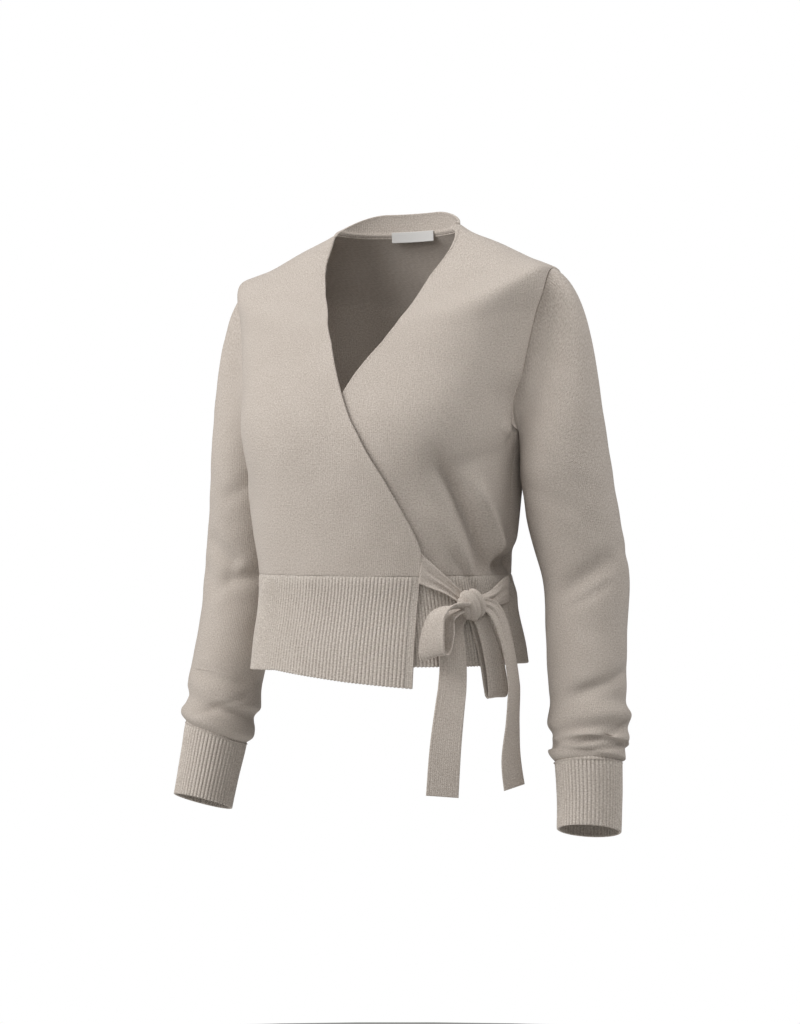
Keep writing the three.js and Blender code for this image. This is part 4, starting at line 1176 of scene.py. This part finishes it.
class CARDIGAN_OT_studio(bpy.types.Operator):
    """Adds the camera, a plain pale floor and soft studio light"""

    bl_idname = "cardigan.studio"
    bl_label = "Studio"

    def execute(self, context):
        scene = context.scene
        turn = np.radians(28)
        right = np.array([np.cos(turn), np.sin(turn), 0])
        toward = np.array([np.sin(turn), -np.cos(turn), 0])
        up = np.array([0, 0, 1.0])
        target = np.array([0, 0, -0.3]) + 0.0021 * right
        lens = bpy.data.cameras.new("camera")
        lens.lens = 85.4
        lens.sensor_width = 36
        camera = bpy.data.objects.new("camera", lens)
        scene.collection.objects.link(camera)
        camera.location = target + CAMERA_DISTANCE * toward
        camera.rotation_euler = (np.pi / 2, 0, turn)
        scene.camera = camera

        # Each light stands round from the camera by "turn" and above it by "rise", in degrees
        for name, turn_from, rise, power in (
            ("key light", -60, 40, 37),
            ("low light", -78, 15, 15),
            ("front light", 5, 24, 9),
            ("side light", 75, 45, 28),
        ):
            sideways, high = np.radians(turn_from), np.radians(rise)
            level = toward * np.cos(sideways) + right * np.sin(sideways)
            softbox(name, target + 2.2 * (level * np.cos(high) + up * np.sin(high)), target, 1.4, power)

        # The studio's walls are white, and throw back a little less light than they show
        world = bpy.data.worlds.new("studio")
        world.use_nodes = True
        tree = world.node_tree
        tree.nodes.clear()
        shown = add_node(tree, "ShaderNodeBackground", {"Color": (1, 1, 1, 1), "Strength": 1.0})
        thrown = add_node(tree, "ShaderNodeBackground", {"Color": (1, 1, 1, 1), "Strength": 0.13})
        ray = add_node(tree, "ShaderNodeLightPath")
        both = add_node(
            tree,
            "ShaderNodeMixShader",
            links={0: ray.outputs["Is Camera Ray"], 1: thrown.outputs[0], 2: shown.outputs[0]},
        )
        add_node(tree, "ShaderNodeOutputWorld", links={"Surface": both.outputs[0]})
        scene.world = world
        scene.view_settings.view_transform = "Standard"

        turns = np.linspace(0, 2 * np.pi, 97)[:-1]
        rings = [
            np.stack([r * np.cos(turns), r * np.sin(turns), 0 * turns - 1.35], axis=-1)
            for r in (0.4, 1.2, 2.4)
        ]
        mesh = bpy.data.meshes.new("floor")
        faces = [[*range(96)]]
        for ring in (0, 1):
            for k in range(96):
                nxt = (k + 1) % 96
                faces.append([ring * 96 + k, ring * 96 + 96 + k, ring * 96 + 96 + nxt, ring * 96 + nxt])
        mesh.from_pydata(np.concatenate(rings).tolist(), [], faces)
        floor = bpy.data.objects.new("floor", mesh)
        scene.collection.objects.link(floor)
        paint = bpy.data.materials.new("matt white floor paint")
        paint.use_nodes = True
        nodes = paint.node_tree
        nodes.nodes.clear()
        place = add_node(nodes, "ShaderNodeTexCoord")
        # Rolled paint has a faint stipple, a few millimetres across
        fine = {"Scale": 1 / (4 * MM), "Detail": 2.0}
        stipple = add_node(nodes, "ShaderNodeTexNoise", fine, {0: place.outputs["Object"]})
        low = {"Strength": 0.1, "Distance": 0.3 * MM}
        bump = add_node(nodes, "ShaderNodeBump", low, {"Height": stipple.outputs[0]})
        shader = add_node(
            nodes,
            "ShaderNodeBsdfPrincipled",
            {"Base Color": (*context.scene.cardigan_colours.floor, 1), "Roughness": 0.7},
            {"Normal": bump.outputs[0]},
        )
        add_node(nodes, "ShaderNodeOutputMaterial", links={"Surface": shader.outputs[0]})
        mesh.materials.append(paint)
        return {"FINISHED"}


def jersey():
    return finish_of("heathered wool jersey")


def rib():
    return finish_of("heathered wool rib")


class CARDIGAN_OT_panels(bpy.types.Operator):
    """Makes the back and the two fronts of plain knit"""

    bl_idname = "cardigan.panels"
    bl_label = "Back and fronts"

    def execute(self, context):
        sizes = context.scene.cardigan_sizes
        back = add_piece("back_panel", back_panel(sizes), jersey(), ["back"])
        form = front_panel(1, EDGE_LEFT, sizes)
        left = add_piece("left_front", form, jersey(), ["front_left"])
        form = front_panel(-1, EDGE_RIGHT, sizes)
        right = add_piece("right_front", form, jersey(), ["front_right"])
        return {"FINISHED"}


class CARDIGAN_OT_hem(bpy.types.Operator):
    """Makes the deep rib hem, one piece under each panel"""

    bl_idname = "cardigan.hem"
    bl_label = "Rib hem"

    def execute(self, context):
        sizes = context.scene.cardigan_sizes
        low_left, low_right = HEM_LEFT["z"][0], HEM_RIGHT["z"][0]

        def far_side(z):
            return 270 - SIDE_GAP + 0 * z

        def back_edge(share):
            return low_left + (low_right - low_left) * share

        def across(table):
            return lambda share: np.interp(share, table["share"], table["z"])

        pieces = (
            ("back_hem", "hem_rib_back", (90 + SIDE_GAP, far_side, back_edge), {}),
            (
                "left_hem",
                "hem_rib_front_left",
                (90 - SIDE_GAP, hem_edge(EDGE_LEFT, 1), across(HEM_LEFT)),
                {"free_edge": True},
            ),
            (
                "right_hem",
                "hem_rib_front_right",
                (SIDE_GAP - 90, hem_edge(EDGE_RIGHT, -1), across(HEM_RIGHT)),
                {"lift_of": wrap_lift, "free_edge": True},
            ),
        )
        for name, node, (start, end_at, hem_at), more in pieces:
            piece = add_piece(name, hem_rib(start, end_at, hem_at, sizes, **more), rib(), [node])
        return {"FINISHED"}


class CARDIGAN_OT_sleeves(bpy.types.Operator):
    """Makes the two set-in sleeves"""

    bl_idname = "cardigan.sleeves"
    bl_label = "Sleeves"

    def execute(self, context):
        for hand in ("left", "right"):
            skin_of = sleeve(hand, context.scene.cardigan_sizes)
            piece = add_piece(hand + "_sleeve", skin_of, jersey(), ["sleeve_" + hand])
        return {"FINISHED"}


class CARDIGAN_OT_cuffs(bpy.types.Operator):
    """Makes the two long rib cuffs"""

    bl_idname = "cardigan.cuffs"
    bl_label = "Rib cuffs"

    def execute(self, context):
        for hand in ("left", "right"):
            skin_of = cuff(hand, context.scene.cardigan_sizes)
            piece = add_piece(hand + "_cuff", skin_of, rib(), ["cuff_" + hand])
        return {"FINISHED"}


class CARDIGAN_OT_neck(bpy.types.Operator):
    """Makes the band round the back of the neck and the bare label inside it"""

    bl_idname = "cardigan.neck"
    bl_label = "Neckband and label"

    def execute(self, context):
        sizes = context.scene.cardigan_sizes
        band = add_piece("neck_band", neckband(sizes), jersey(), ["neckband"])
        finish = finish_of("woven polyester label")
        label = add_piece("bare_label", neck_label(sizes), finish, ["neck_label"])
        return {"FINISHED"}


class CARDIGAN_OT_bow(bpy.types.Operator):
    """Makes the two ties, knotted in a bow over the left hip"""

    bl_idname = "cardigan.bow"
    bl_label = "Ties and bow"

    def execute(self, context):
        finish = finish_of("doubled wool jersey")
        add_piece("knot_of_bow", knot(context.scene.cardigan_sizes), finish, ["bow_knot"])
        for name, (node, rows) in TIE_PIECES.items():
            piece = add_piece(name, tie(rows, TIE_CREASES.get(name, ())), finish, [node])
        return {"FINISHED"}


STEPS = (
    CARDIGAN_OT_studio,
    CARDIGAN_OT_panels,
    CARDIGAN_OT_hem,
    CARDIGAN_OT_sleeves,
    CARDIGAN_OT_cuffs,
    CARDIGAN_OT_neck,
    CARDIGAN_OT_bow,
)


class CARDIGAN_PT_build(bpy.types.Panel):
    """Lists the steps that build the cardigan, and its sizes and colours"""

    bl_idname = "CARDIGAN_PT_build"
    bl_label = "Wrap cardigan"
    bl_space_type = "VIEW_3D"
    bl_region_type = "UI"
    bl_category = "Cardigan"

    def draw(self, context):
        for step in STEPS:
            self.layout.operator(step.bl_idname)
        for group in (context.scene.cardigan_sizes, context.scene.cardigan_colours):
            for name in group.__annotations__:
                self.layout.prop(group, name)


CLASSES = (CardiganSizes, CardiganColours, *STEPS, CARDIGAN_PT_build)


def register():
    for each in CLASSES:
        bpy.utils.register_class(each)
    bpy.types.Scene.cardigan_sizes = bpy.props.PointerProperty(type=CardiganSizes)
    bpy.types.Scene.cardigan_colours = bpy.props.PointerProperty(type=CardiganColours)


def unregister():
    del bpy.types.Scene.cardigan_colours
    del bpy.types.Scene.cardigan_sizes
    for each in reversed(CLASSES):
        bpy.utils.unregister_class(each)


def main():
    register()
    bpy.ops.cardigan.studio()
    bpy.ops.cardigan.panels()
    bpy.ops.cardigan.hem()
    bpy.ops.cardigan.sleeves()
    bpy.ops.cardigan.cuffs()
    bpy.ops.cardigan.neck()
    bpy.ops.cardigan.bow()


if __name__ == "__main__":
    main()
